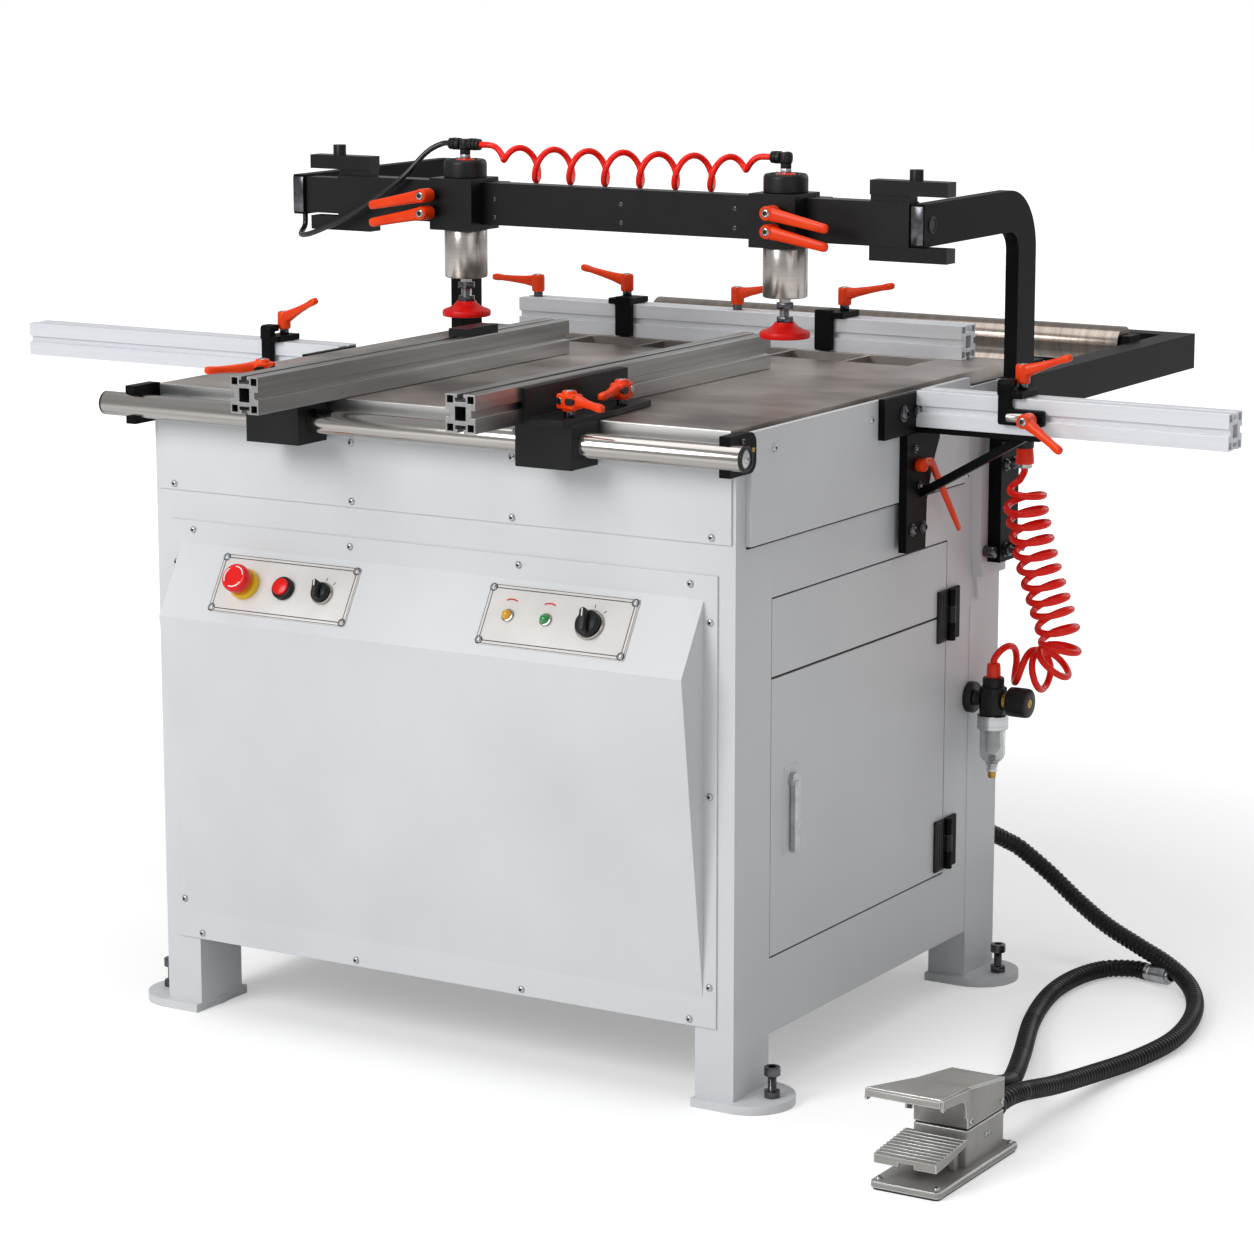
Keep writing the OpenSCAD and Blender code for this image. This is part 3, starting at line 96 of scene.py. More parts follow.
def turned(point, *turns):
    """A placement at a machine point, turned by (degrees, axis) in order."""
    place = Matrix.Translation(row(point))
    for degrees, axis in turns:
        place = place @ spun(degrees, axis)
    return place


# Camera, fitted to the cabinet's edges in the photograph

def set_camera():
    ahead = Vector((-0.50783, 0.83928, -0.19420)).normalized()
    roll = math.radians(-0.044)
    data = bpy.data.cameras.new("camera")
    data.sensor_width = 36.0
    data.lens = 109.09
    data.clip_end = 60.0
    camera = bpy.data.objects.new("camera", data)
    camera.rotation_mode = "QUATERNION"
    camera.location = row((2814.14, -4150.26, 1591.73))
    look = ahead.to_track_quat("-Z", "Y").to_matrix() @ Matrix.Rotation(roll, 3, "Z")
    camera.rotation_quaternion = look.to_quaternion()
    bpy.context.scene.collection.objects.link(camera)
    bpy.context.scene.camera = camera


set_camera()


# Materials

# Octaves of noise in colour patches and in grain
PATCH_DETAIL = 5.0
GRAIN_DETAIL = 3.0


def linear(code):
    """An sRGB hex colour as linear red, green, blue and alpha."""
    parts = [int(code[i:i + 2], 16) / 255 for i in (1, 3, 5)]
    return tuple(c / 12.92 if c <= 0.04045 else ((c + 0.055) / 1.055) ** 2.4
                 for c in parts) + (1.0,)


def add(tree, kind, settings=None, inputs=None, links=None):
    """A node of that kind, with its settings, its input values and its links."""
    node = tree.nodes.new(kind)
    for key, value in (settings or {}).items():
        setattr(node, key, value)
    for key, value in (inputs or {}).items():
        node.inputs[key].default_value = value
    for key, source in (links or {}).items():
        tree.links.new(source, node.inputs[key])
    return node


def surface(name, **inputs):
    """A new material with its node tree and principled shader."""
    material = bpy.data.materials.new(name)
    material.use_nodes = True
    tree = material.node_tree
    shader = tree.nodes["Principled BSDF"]
    for key, value in inputs.items():
        shader.inputs[key.replace("_", " ")].default_value = value
    return material, tree, shader


def per_mm(size):
    """Pattern scale for a feature of that many millimetres."""
    return 1.0 / (size * MM)


def stretched_place(tree, stretch):
    """Object coordinates, drawn out along the axes with a small factor."""
    place = add(tree, "ShaderNodeTexCoord").outputs["Object"]
    return add(tree, "ShaderNodeMapping", inputs={"Scale": stretch},
               links={"Vector": place}).outputs[0]


def mottled(tree, shader, code, other, size, low=0.35, high=0.65, stretch=(1, 1, 1)):
    """Colour that drifts between two hex values over patches of a size in mm."""
    place = stretched_place(tree, stretch)
    noise = add(tree, "ShaderNodeTexNoise", inputs={"Scale": per_mm(size), "Detail": PATCH_DETAIL},
                links={"Vector": place})
    ramp = add(tree, "ShaderNodeValToRGB", links={"Fac": noise.outputs["Fac"]})
    ramp.color_ramp.elements[0].position = low
    ramp.color_ramp.elements[1].position = high
    ramp.color_ramp.elements[0].color = linear(code)
    ramp.color_ramp.elements[1].color = linear(other)
    tree.links.new(ramp.outputs["Color"], shader.inputs["Base Color"])
    return place


def grained(tree, shader, place, size, height, low, high):
    """Bump of a grain size and height in mm, with roughness that follows it."""
    noise = add(tree, "ShaderNodeTexNoise", inputs={"Scale": per_mm(size), "Detail": GRAIN_DETAIL},
                links={"Vector": place})
    bump = add(tree, "ShaderNodeBump", inputs={"Strength": 1.0, "Distance": height * MM},
               links={"Height": noise.outputs["Fac"]})
    rough = add(tree, "ShaderNodeMapRange", inputs={"To Min": low, "To Max": high},
                links={"Value": noise.outputs["Fac"]})
    tree.links.new(bump.outputs["Normal"], shader.inputs["Normal"])
    tree.links.new(rough.outputs["Result"], shader.inputs["Roughness"])


def painted(name, code, other, patch, grain, height, rough, shine=0.5, **inputs):
    """Paint, plastic or rubber: colour patches and a fine grain, sizes in mm."""
    material, tree, shader = surface(name, Specular_IOR_Level=shine, **inputs)
    place = mottled(tree, shader, code, other, patch)
    grained(tree, shader, place, grain, height, *rough)
    return material


def printed_ink(name, code, other, rough=(0.45, 0.55)):
    return painted(name, code, other, patch=8, grain=0.8, height=0.004, rough=rough)


def tinted_lens(name, code, other):
    return painted(name, code, other, patch=9, grain=2.0, height=0.01, rough=(0.08, 0.16),
                   Coat_Weight=0.5)


def drawn_metal(name, code, other, stretch, streak, rough, height=0.004, metal=1.0):
    """Metal with fine lines, less metal under a milky coat; stretch is small along the lines."""
    material, tree, shader = surface(name, Metallic=metal)
    place = mottled(tree, shader, code, other, streak * 6, 0.3, 0.7, stretch)
    grained(tree, shader, place, streak, height, *rough)
    return material


# Powder coat on sheet steel: off-white, satin, with a faint orange peel
cabinet_coat = painted(
    "powder_coat_off_white", "#d6d9dc", "#dee0e2", patch=300, grain=2.4, height=0.012,
    rough=(0.36, 0.46))
# Powder coat on flat bar and brackets: near-black, satin, fine texture
black_coat = painted(
    "powder_coat_black", "#060708", "#0c0d0e", patch=90, grain=1.1, height=0.02, rough=(0.36, 0.52),
    shine=0.08)
# Black anodised aluminium on the beam and carriages: smoother than the coat
black_anodised = painted(
    "black_anodised_aluminium", "#0e0f10", "#151618", patch=60, grain=0.9, height=0.008,
    rough=(0.3, 0.42), shine=0.26)
# Enamel on the roller frame: nearly black with a slight gloss
frame_enamel = painted(
    "enamel_dark_grey", "#0f1113", "#16181a", patch=120, grain=2.0, height=0.01, rough=(0.36, 0.5),
    shine=0.1)
# Worn steel of the rollers, polished by the boards; its dark, warm colour is a painted reflection
roller_steel = drawn_metal(
    "polished_roller_steel", "#867c74", "#a0958c", (1, 0.05, 0.05), streak=1.2, height=0.003,
    rough=(0.16, 0.28))
# Milled edge of the table plate: paler than its ground top
milled_edge = drawn_metal(
    "milled_steel_edge", "#d3d4d4", "#e2e2e1", (0.03, 1, 1), streak=1.0, height=0.003,
    rough=(0.3, 0.42))


def ground_plate():
    """Ground steel plate: warm grey with cloudy stains and the grinder's lines running across."""
    material, tree, shader = surface("ground_steel_plate", Metallic=1.0)
    mottled(tree, shader, "#6a635e", "#c4bcb6", 170, 0.34, 0.66, (0.7, 1, 1))
    grained(tree, shader, stretched_place(tree, (0.03, 1, 1)), 1.6, 0.006, 0.32, 0.5)
    return material


table_steel = ground_plate()
# Anodised extrusion: satin aluminium with die lines along its length; painted light: pale copy
fence_alloy_x = drawn_metal(
    "anodised_extrusion_x_painted_light", "#e4e7ec", "#edeff3", (0.02, 1, 1), streak=1.4, rough=(0.28, 0.42),
    metal=0.15)
# Painted shade: a darker, fully metallic copy of the same extrusion for the fences that run back
fence_alloy_y = drawn_metal(
    "anodised_extrusion_y_painted_shade", "#989897", "#acacab", (1, 0.02, 1), streak=1.4, rough=(0.26, 0.40))
# Ground and chromed bar: near-mirror, with faint rings from grinding
chromed_bar = drawn_metal(
    "chromed_bar", "#a29e9a", "#b6b2ae", (0.02, 1, 1), streak=1.0, height=0.002, rough=(0.12, 0.2))
# Zinc-plated steel of screws, bolts and the latch
zinc_plate = drawn_metal(
    "zinc_plated_steel", "#a9acae", "#c6c8ca", (1, 1, 1), streak=2.0, rough=(0.22, 0.38))
# Turned aluminium of the filter's rings: bright, with turning lines round them
turned_alloy = drawn_metal(
    "turned_aluminium", "#b9bbbd", "#d0d2d4", (0.03, 0.03, 1), streak=0.8, rough=(0.20, 0.34))
# Powder-coated zinc casting of the clamp levers: glossy orange-red
lever_coat = painted(
    "powder_coat_orange", "#f43a04", "#fb4808", patch=30, grain=1.4, height=0.012,
    rough=(0.26, 0.38), shine=0.3)
# Moulded ABS of the buttons: glossy red
button_red = painted(
    "moulded_abs_red", "#e40a06", "#ee120c", patch=20, grain=0.8, height=0.004, rough=(0.2, 0.3),
    shine=0.35)
# Polyurethane tube: glossy, strong red
tube_red = painted(
    "polyurethane_tube_red", "#ff1608", "#ff2412", patch=18, grain=2.0, height=0.006,
    rough=(0.18, 0.3), shine=0.3)
# Moulded rubber of the press pads: matt red
pad_rubber = painted(
    "moulded_rubber_red", "#e00a06", "#ec120c", patch=14, grain=0.9, height=0.015,
    rough=(0.34, 0.48), shine=0.3)
# Glass-filled nylon: black, slightly grained
black_nylon = painted(
    "glass_filled_nylon_black", "#0e0f10", "#151618", patch=25, grain=0.7, height=0.015,
    rough=(0.34, 0.5), shine=0.3)
# Polyurethane tube, black
tube_black = painted(
    "polyurethane_tube_black", "#121214", "#1b1b1e", patch=20, grain=2.0, height=0.005,
    rough=(0.2, 0.32))
# Moulded ABS, yellow, of the emergency stop's collar
collar_yellow = painted(
    "moulded_abs_yellow", "#e6b800", "#f0c410", patch=18, grain=0.8, height=0.004,
    rough=(0.28, 0.4))
# Polycarbonate label sheet on the control plates: pale warm grey, satin
label_sheet = painted(
    "polycarbonate_label_grey", "#d9d6d3", "#e1dedb", patch=60, grain=0.6, height=0.004,
    rough=(0.38, 0.48))
# Screen-printed ink on plates and buttons: flat, a little proud of the sheet
ink_black = printed_ink("printed_ink_black", "#26272a", "#303134", rough=(0.5, 0.6))
ink_white = printed_ink("printed_ink_white", "#e9e9e7", "#f2f2f0")
ink_red = printed_ink("printed_ink_red", "#c4161a", "#d01c1e")
# Lamp lenses: clear tinted acrylic
lens_yellow = tinted_lens("tinted_acrylic_yellow", "#d99a06", "#e9ad12")
lens_green = tinted_lens("tinted_acrylic_green", "#128a3c", "#1b9c48")
# Turned brass of the air fittings
fitting_brass = drawn_metal(
    "turned_brass", "#a9853c", "#c4a052", (1, 1, 1), streak=0.9, rough=(0.2, 0.34))
# Painted casting of the drilling head
head_enamel = painted(
    "painted_casting_grey", "#666b71", "#737880", patch=40, grain=3.0, height=0.05,
    rough=(0.4, 0.55))
# Tool steel of chucks and bits
tool_steel = drawn_metal(
    "ground_tool_steel", "#7d8083", "#95989b", (1, 1, 0.1), streak=0.8, rough=(0.22, 0.36))
# Stoved enamel on the pedal's die casting: warm grey, satin and smooth
pedal_enamel = painted(
    "stoved_enamel_grey", "#9a9893", "#a5a39e", patch=40, grain=1.6, height=0.012,
    rough=(0.34, 0.46), Metallic=0.25)
# Bare aluminium on the pedal's rounded edges: partly enamel rubbed off, partly a painted highlight
pedal_edge_wear_and_highlight = drawn_metal(
    "rubbed_aluminium_and_painted_highlight", "#bfc0c0", "#d6d6d5", (1, 1, 1), streak=1.2, height=0.006,
    rough=(0.26, 0.38))
# Nickel-plated barrel of the cylinders: warm satin metal, brushed round
nickel_barrel = drawn_metal(
    "brushed_nickel_plate", "#b4aea9", "#c0bab5", (0.04, 0.04, 1), streak=0.45, height=0.003,
    rough=(0.2, 0.28))
# Blackened steel of bolts and levelling screws: dark with an oily gloss
black_oxide = drawn_metal(
    "black_oxide_steel", "#48484b", "#6c6c70", (1, 1, 1), streak=1.4, height=0.006,
    rough=(0.14, 0.26))
# Moulded nylon of the quick connectors: glossy red
connector_red = painted(
    "moulded_nylon_red", "#f62a08", "#fc380e", patch=12, grain=0.9, height=0.006,
    rough=(0.22, 0.34), shine=0.35)
# Natural acetal of the baffle in the filter bowl: milky white
baffle_white = painted(
    "natural_acetal_white", "#cfcfcd", "#dcdcda", patch=10, grain=0.8, height=0.006,
    rough=(0.35, 0.5))
# Moulded rubber under the pedal: black and dull
sole_rubber = painted(
    "moulded_rubber_black", "#121213", "#1b1b1c", patch=10, grain=1.0, height=0.03,
    rough=(0.6, 0.75))
# Ribbed hose: near-black plastic, slightly glossy
conduit_grey = painted(
    "plastic_coated_conduit", "#0a0a0b", "#131314", patch=12, grain=1.2, height=0.01,
    rough=(0.26, 0.4), shine=0.25)
# Dark hollow behind sockets and slots
socket_dark = painted(
    "shadowed_steel", "#0d0d0e", "#161617", patch=10, grain=1.0, height=0.01, rough=(0.5, 0.6))
# Clear polycarbonate of the filter bowl: smooth, faintly grey, with a little haze
bowl_clear = painted(
    "clear_polycarbonate", "#d9dfdf", "#e6eaea", patch=14, grain=3.0, height=0.01,
    rough=(0.06, 0.14), IOR=1.58, Transmission_Weight=0.85)


# Meshes

# Lathed rings never close to a point, in mm
AXIS_RADIUS = 0.02
# Edges flatter than this, in radians, are not rounded
BEVEL_FROM = 0.4


def polygon(sides, radius, start=0.0):
    """Corners of a regular polygon about the origin, from an angle in degrees."""
    turns = [math.radians(start + 360 * k / sides) for k in range(sides)]
    return [(radius * math.cos(a), radius * math.sin(a)) for a in turns]


def hexagon(radius):
    return polygon(6, radius)


def arc(x, y, radius, start, end, steps):
    """Points of an arc about (x, y) between two angles in degrees."""
    turns = [math.radians(start + (end - start) * k / steps) for k in range(steps + 1)]
    return [(x + radius * math.cos(a), y + radius * math.sin(a)) for a in turns]


def rounded(width, height, radius, steps=5):
    """Outline of a rounded rectangle about the origin."""
    x, y = width / 2 - radius, height / 2 - radius
    points = []
    for cx, cy, start in ((x, y, 0), (-x, y, 90), (-x, -y, 180), (x, -y, 270)):
        points += arc(cx, cy, radius, start, start + 90, steps)
    return points


class Piece:
    """A mesh put together from turned, extruded and swept forms."""

    def __init__(self, name):
        self.name = name
        self.mesh = bmesh.new()
        self.materials = []

    def slot(self, material):
        if material not in self.materials:
            self.materials.append(material)
        return self.materials.index(material)

    def close(self, faces, material):
        """Gives faces their material and smooth shading."""
        index = self.slot(material)
        for face in faces:
            face.material_index = index
            face.smooth = True

    def rings(self, rings, material):
        """Skins rings of points, each ring a closed loop, and caps both ends."""
        loops = [[self.mesh.verts.new(p) for p in ring] for ring in rings]
        faces = []
        for a, b in zip(loops, loops[1:]):
            for i in range(len(a)):
                j = (i + 1) % len(a)
                faces.append(self.mesh.faces.new((a[i], a[j], b[j], b[i])))
        faces.append(self.mesh.faces.new(loops[0][::-1]))
        faces.append(self.mesh.faces.new(loops[-1]))
        self.close(faces, material)

    def lathe(self, profile, place, material, sides=40):
        """Turns (radius, height) pairs in mm about the placement's Z."""
        rings = []
        for r, z in profile:
            corners = polygon(sides, max(r, AXIS_RADIUS))
            rings.append([place @ (Vector((x, y, z)) * MM) for x, y in corners])
        self.rings(rings, material)

    def prism(self, outline, low, high, place, material, edge=0.0, segments=2, edge_finish=None):
        """Extrudes a drawing in mm along the placement's Z, with rounded edges in their own finish
        if one is named.
        """
        before = set(self.mesh.faces)
        bottom = [self.mesh.verts.new(place @ (Vector((x, y, low)) * MM)) for x, y in outline]
        top = [self.mesh.verts.new(place @ (Vector((x, y, high)) * MM)) for x, y in outline]
        count = len(outline)
        faces = [self.mesh.faces.new(bottom[::-1]), self.mesh.faces.new(top)]
        for i in range(count):
            j = (i + 1) % count
            faces.append(self.mesh.faces.new((bottom[i], bottom[j], top[j], top[i])))
        if edge:
            for face in faces:
                face.normal_update()
            edges = list({e for f in faces for e in f.edges if e.calc_face_angle(0) > BEVEL_FROM})
            made = bmesh.ops.bevel(self.mesh, geom=edges, offset=edge * MM, segments=segments,
                                   profile=0.5, affect="EDGES", clamp_overlap=True)
            faces = set(self.mesh.faces) - before
            if edge_finish:
                bare = set(made["faces"])
                self.close(bare, edge_finish)
                faces -= bare
        self.close(faces, material)

    def block(self, low, high, material, edge=1.0, place=None, edge_finish=None):
        """A box between two corners in mm of the machine frame or a placement."""
        outline = [(low[0], low[1]), (high[0], low[1]), (high[0], high[1]), (low[0], high[1])]
        place = place if place is not None else Matrix.Translation(TO_ROW * MM)
        self.prism(outline, low[2], high[2], place, material, edge, edge_finish=edge_finish)

    def tube(self, path, radius, material, sides=14):
        """Sweeps a circle, or one radius per point in mm, along row points."""
        circle = polygon(sides, 1.0)
        rings = []
        for i, (point, (u, v)) in enumerate(zip(path, carried_frames(path))):
            r = (radius[i] if isinstance(radius, list) else radius) * MM
            rings.append([point + r * (c * u + s * v) for c, s in circle])
        self.rings(rings, material)

    def done(self, body, slot, *replaced, sharp=38):
        """Makes the object, rides it on a body, hides the nodes it replaces; slot is not used."""
        bmesh.ops.recalc_face_normals(self.mesh, faces=self.mesh.faces)
        data = bpy.data.meshes.new(self.name)
        self.mesh.to_mesh(data)
        self.mesh.free()
        for material in self.materials:
            data.materials.append(material)
        data.set_sharp_from_angle(angle=math.radians(sharp))
        piece = bpy.data.objects.new(self.name, data)
        bpy.context.scene.collection.objects.link(piece)
        if body:
            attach(piece, body)
        if replaced:
            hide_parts(*replaced)
        return piece


def carried_frames(path):
    """Two directions across a path at each point, without twist."""
    count = len(path)
    along = [(path[min(i + 1, count - 1)] - path[max(i - 1, 0)]).normalized() for i in range(count)]
    first = Vector((1, 0, 0)) if abs(along[0].x) < 0.8 else Vector((0, 1, 0))
    u = along[0].cross(first).normalized()
    frames = []
    for t in along:
        u = (u - u.dot(t) * t).normalized()
        frames.append((u, t.cross(u)))
    return frames


# Routes of the air lines and hoses, as in the solids

def spline_at(points, u):
    """A point of the smooth curve through all points, u counted in points."""
    i = min(len(points) - 2, int(u))
    t = u - i
    a, b, c, d = (points[min(len(points) - 1, max(0, i + k))] for k in (-1, 0, 1, 2))
    return (2 * b + (c - a) * t + (2 * a - 5 * b + 4 * c - d) * t * t
            + (3 * b - a - 3 * c + d) * t * t * t) / 2


def even_route(route, count):
    """Points along a smooth curve through a route in mm, evenly by chord."""
    points = [Vector(p) for p in route]
    reach = [0.0]
    for a, b in zip(points, points[1:]):
        reach.append(reach[-1] + (b - a).length)
    found = []
    i = 0
    for k in range(count + 1):
        x = reach[-1] * k / count
        while i < len(reach) - 2 and reach[i + 1] < x:
            i += 1
        share = min(1.0, max(0.0, (x - reach[i]) / (reach[i + 1] - reach[i])))
        found.append(spline_at(points, i + share))
    return found


def smooth(x):
    """Eases from 0 to 1."""
    c = min(1.0, max(0.0, x))
    return c * c * (3 - 2 * c)


HOSE_ROUTE = [
    (436, 796, 197), (436, 812, 197), (441, 829, 190), (452, 848, 178),
    (468, 864, 164), (508, 882, 127), (560, 873, 93), (612, 858, 68),
    (668, 846, 48), (720, 831, 32), (767, 797, 19), (807, 732, 13),
    (838, 640, 13), (852, 540, 13), (842, 440, 13), (830, 340, 20),
    (826, 220, 36), (826, 126, 54), (826, 80.8, 60), (826, 41.8, 60)]
SPARE_ROUTE = [
    (784, 41.8, 66), (784, 76.8, 66), (782, 126, 54), (768, 205, 36),
    (718, 344, 24), (648, 527, 14), (614, 660, 13), (610, 755, 13),
    (628, 818, 13), (664, 842, 13), (690, 836, 13)]
COUPLING_END = Vector((734, 818, 17))
COIL_FOOT = Vector((504, 683, 484.3))
COIL_AXIS = [
    (560, 654, 774), (560, 654, 756), (562, 657, 717), (574, 671, 641),
    (593, 686, 565), (601, 693, 531), (601, 695, 513), (595, 698, 496),
    (584, 701, 483), (568, 705, 475), (549, 710, 477), (523, 705, 482),
    (502.3, 703, 488.3)]
# Share of the curls wound by a share of the axis
COIL_KNOTS = [(0, 0), (0.09, 0.0276), (0.575, 0.6345), (0.845, 0.8966), (1, 1)]
AIR_ROUTE = [
    (-248.3, 420, 1213), (-262, 420, 1212), (-284, 412, 1199),
    (-315, 396, 1163), (-358, 390, 1132), (-404, 390, 1105),
    (-450, 390, 1085), (-482, 394, 1074), (-506, 408, 1072),
    (-510, 424, 1084), (-510, 425, 1100.8)]
COIL_TURNS = 14.5
COIL_RADIUS = 27.0
COIL_TUCK = 7.0
COIL_TUBE = 10.0
BEAM_COIL_TURNS = 8
BEAM_COIL_RADIUS = 22.5
BEAM_COIL_LEFT, BEAM_COIL_RIGHT = -195.7, 280.7
BEAM_COIL_DROP = 25.0
BEAM_TUBE = 9.0
AIR_TUBE = 8.0
AIR_POINTS = 90
# Shares of a coil's length over which its curls open at the ends, and are drawn in
COIL_OPENS = 0.12
COIL_TUCKS = 0.1
BEAM_COIL_OPENS = 0.16
POINTS_PER_TURN = 28
HOSE = 26.0
RIB_RINGS = 6
RIB_DEPTH = 1.5


def coil_share(x):
    """Share of the curls that are wound at a share of the axis."""
    for (x0, y0), (x1, y1) in zip(COIL_KNOTS, COIL_KNOTS[1:]):
        if x <= x1:
            return y0 + (x - x0) * (y1 - y0) / (x1 - x0)
    return 1.0


def supply_coil_path():
    """Curls about the hanging axis, open at the top and drawn in at the foot."""
    count = int(POINTS_PER_TURN * COIL_TURNS)
    axis = even_route(COIL_AXIS, count)
    side = Vector((0, 1, 0))
    path = []
    for i, point in enumerate(axis):
        t = (axis[min(i + 1, count)] - axis[max(i - 1, 0)]).normalized()
        x = i / count
        u = (side - side.dot(t) * t).normalized()
        v = t.cross(u)
        a = -2 * math.pi * COIL_TURNS * coil_share(x)
        drawn_in = COIL_TUCK * smooth((x - 1 + COIL_TUCKS) / COIL_TUCKS)
        r = COIL_RADIUS * smooth(x / COIL_OPENS) - drawn_in
        path.append(row(point + r * (math.cos(a) * u + math.sin(a) * v)))
    path.append(row(COIL_FOOT))
    return path


def beam_coil_path():
    """Curls that hang between the two cylinders' fittings."""
    left, right = BEAM_COIL_LEFT, BEAM_COIL_RIGHT
    count = POINTS_PER_TURN * BEAM_COIL_TURNS
    path = [row((left, PRESS_Y, FITTING_Z))]
    for i in range(count + 1):
        t = i / count
        k = smooth(t / BEAM_COIL_OPENS) * smooth((1 - t) / BEAM_COIL_OPENS)
        a = 2 * math.pi * BEAM_COIL_TURNS * t
        path.append(row((left + BEAM_TUBE + (right - left - 2 * BEAM_TUBE) * t,
                         PRESS_Y + k * BEAM_COIL_RADIUS * math.sin(a),
                         FITTING_Z + k * (BEAM_COIL_RADIUS * math.cos(a) - BEAM_COIL_DROP))))
    path.append(row((right, PRESS_Y, FITTING_Z)))
    return path


def air_line(name, path, diameter, material, slot, lay, bodies, *replaced):
    """A tube along a path, which rides on one body; between two bodies it rides on none."""
    piece = Piece(name)
    piece.tube(path, diameter / 2, material)
    made = piece.done(bodies[0] if len(bodies) == 1 else None, slot, *replaced, sharp=80)
    if len(bodies) == 2:
        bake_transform(made)


def ribbed_hose(name, route, ribs, replaced=()):
    """A hose with rounded ribs along a route in mm."""
    count = ribs * RIB_RINGS
    path = [row(p) for p in even_route(route, count)]
    radii = [HOSE / 2 - RIB_DEPTH * (0.5 + 0.5 * math.cos(2 * math.pi * i / RIB_RINGS))
             for i in range(count + 1)]
    piece = Piece(name)
    piece.tube(path, radii, conduit_grey, sides=20)
    made = piece.done("machine", "hose_plastic", *replaced, sharp=80)


def hose_coupling():
    """Ringed metal end of the second hose."""
    start = Vector(SPARE_ROUTE[-1])
    way = (COUPLING_END - start).normalized()
    place = Matrix.Translation(row(start)) @ way.to_track_quat("Z", "Y").to_matrix().to_4x4()
    piece = Piece("hose_coupling")
    length = (COUPLING_END - start).length
    profile = [(9, 0), (12.6, 0), (13, 0.6), (13, 8), (11.6, 9), (11.6, 12), (13, 13),
               (13, length - 8), (12.4, length - 6), (9.6, length - 5), (9.6, length), (7, length),
               (7, length - 12)]
    piece.lathe(profile, place, zinc_plate)
    return piece.done("machine", "hose_plastic")


air_line("supply_coil", supply_coil_path(), COIL_TUBE, tube_red, "red_tube", "coiled",
         ("machine",), "air_coil")
coil = beam_coil_path()
middle = len(coil) // 2
air_line("beam_coil_left", coil[:middle + 1], BEAM_TUBE, tube_red, "red_tube", "coiled",
         ("left_carriage", "machine"), "press_air_lines")
air_line("beam_coil_right", coil[:middle - 1:-1], BEAM_TUBE, tube_red, "red_tube", "coiled",
         ("right_carriage", "machine"))
air_line("beam_air_tube", [row(p) for p in even_route(AIR_ROUTE, AIR_POINTS)], AIR_TUBE, tube_black,
         "black_plastic", "hanging", ("left_carriage", "machine"))
coupling = hose_coupling()
ribbed_hose("pedal_hose", HOSE_ROUTE, 150, replaced=("pedal_hoses",))
ribbed_hose("spare_hose", SPARE_ROUTE, 106)


# Finishes of the carried-over solids

FINISHES = {
    cabinet_coat: ("base_frame", "cabinet_panels", "front_cover", "door"),
    black_coat: ("brackets", "press_arms", "door_hinges"),
    black_anodised: ("press_beam", "left_carriage", "right_carriage",
                     "left_rail_block", "right_rail_block"),
    frame_enamel: ("roller_frame",),
    table_steel: ("table_top",),
    fence_alloy_x: ("fixed_fences",),
    fence_alloy_y: ("left_fence", "right_fence"),
    chromed_bar: ("front_rail",),
    roller_steel: ("front_roller", "rear_roller"),
    zinc_plate: ("door_latch",),
    head_enamel: ("drill_head",),
    tool_steel: ("drill_spindles",),
}
SOLID_EDGE = 0.8
STOP_EDGE = 3.0
# Corners of the solids' triangles this close, in metres, are one
WELD_GAP = 0.000002


def finish_solid(node, material, edge=SOLID_EDGE):
    """Gives a solid its finish and small rounded edges."""
    solid = nodes[node]
    solid.data.materials.clear()
    solid.data.materials.append(material)
    weld = solid.modifiers.new("weld", "WELD")
    weld.merge_threshold = WELD_GAP
    bevel = solid.modifiers.new("edges", "BEVEL")
    bevel.width = edge * MM
    bevel.segments = 2
    bevel.limit_method = "ANGLE"
    bevel.angle_limit = math.radians(40)
    bevel.harden_normals = True


for material, names in FINISHES.items():
    for node in names:
        finish_solid(node, material)
for node in ("left_stop", "right_stop", "rear_stop_left", "rear_stop_right"):
    finish_solid(node, black_coat, STOP_EDGE)


# Hinges, painted shade in the door's gaps, and the leg's seam

def door_leaves():
    """Black leaves and middle knuckles of the door's hinges."""
    piece = Piece("door_hinge_leaves")
    for z in (192, 526):
        piece.block((464.9, 574.4, z - 0.5), (469.6, 603.4, z + 74.5), black_nylon, edge=1.6)
        piece.block((464.9, 602, z + 25.2), (469.4, 610, z + 48.8), black_nylon, edge=0.6)
        piece.lathe([(0, 25.2), (5.8, 25.2), (6.3, 25.8), (6.3, 48.2), (5.8, 48.8), (0, 48.8)],
                    turned((471, 611, z)), black_nylon, 28)
        for y in (581, 588, 595):
            piece.block((469.2, y - 1.4, z + 4), (470.3, y + 1.4, z + 70), black_nylon, edge=0.5)
    piece.done("door", "black_plastic")


def door_gap_shade():
    """Painted shade: dark strips in the gaps round the door, under the skirt's lower edge and in
    the door's groove.
    """
    piece = Piece("door_gap_shade")
    for low, high in (((94.2, 668.3), (606.8, 669.8)), ((94.2, 184.2), (606.8, 185.7)),
                      ((605.3, 184.2), (606.8, 669.8)), ((94.4, 184.2), (96.6, 669.8))):
        piece.block((461.6, *low), (464.3, *high), sole_rubber, 0.2)
    piece.block((464.9, 27, 744.2), (467.6, 654, 748.2), sole_rubber, 0.4)
    piece.done("machine", "black_plastic")
    groove = Piece("door_groove_shade")
    groove.block((463.2, 98, 561.2), (464.2, 604, 563.8), sole_rubber, 0.2)
    groove.done("door", "black_plastic")


def leg_seam():
    """Rounded edge where the rear leg's tube meets the side panel."""
    piece = Piece("leg_seam")
    piece.block((464.6, 680.4, 26), (466.0, 683.6, 564), cabinet_coat, edge=0.65)
    piece.done("machine", "cabinet_paint")


door_leaves()
door_gap_shade()
leg_seam()


# Clamp levers

FRONT_SEAT_Y = 379.8
FENCE_SEAT_Z = 908.7
STOP_SEAT_Z = 909.5
REAR_STOP_SEAT_Z = 959.5
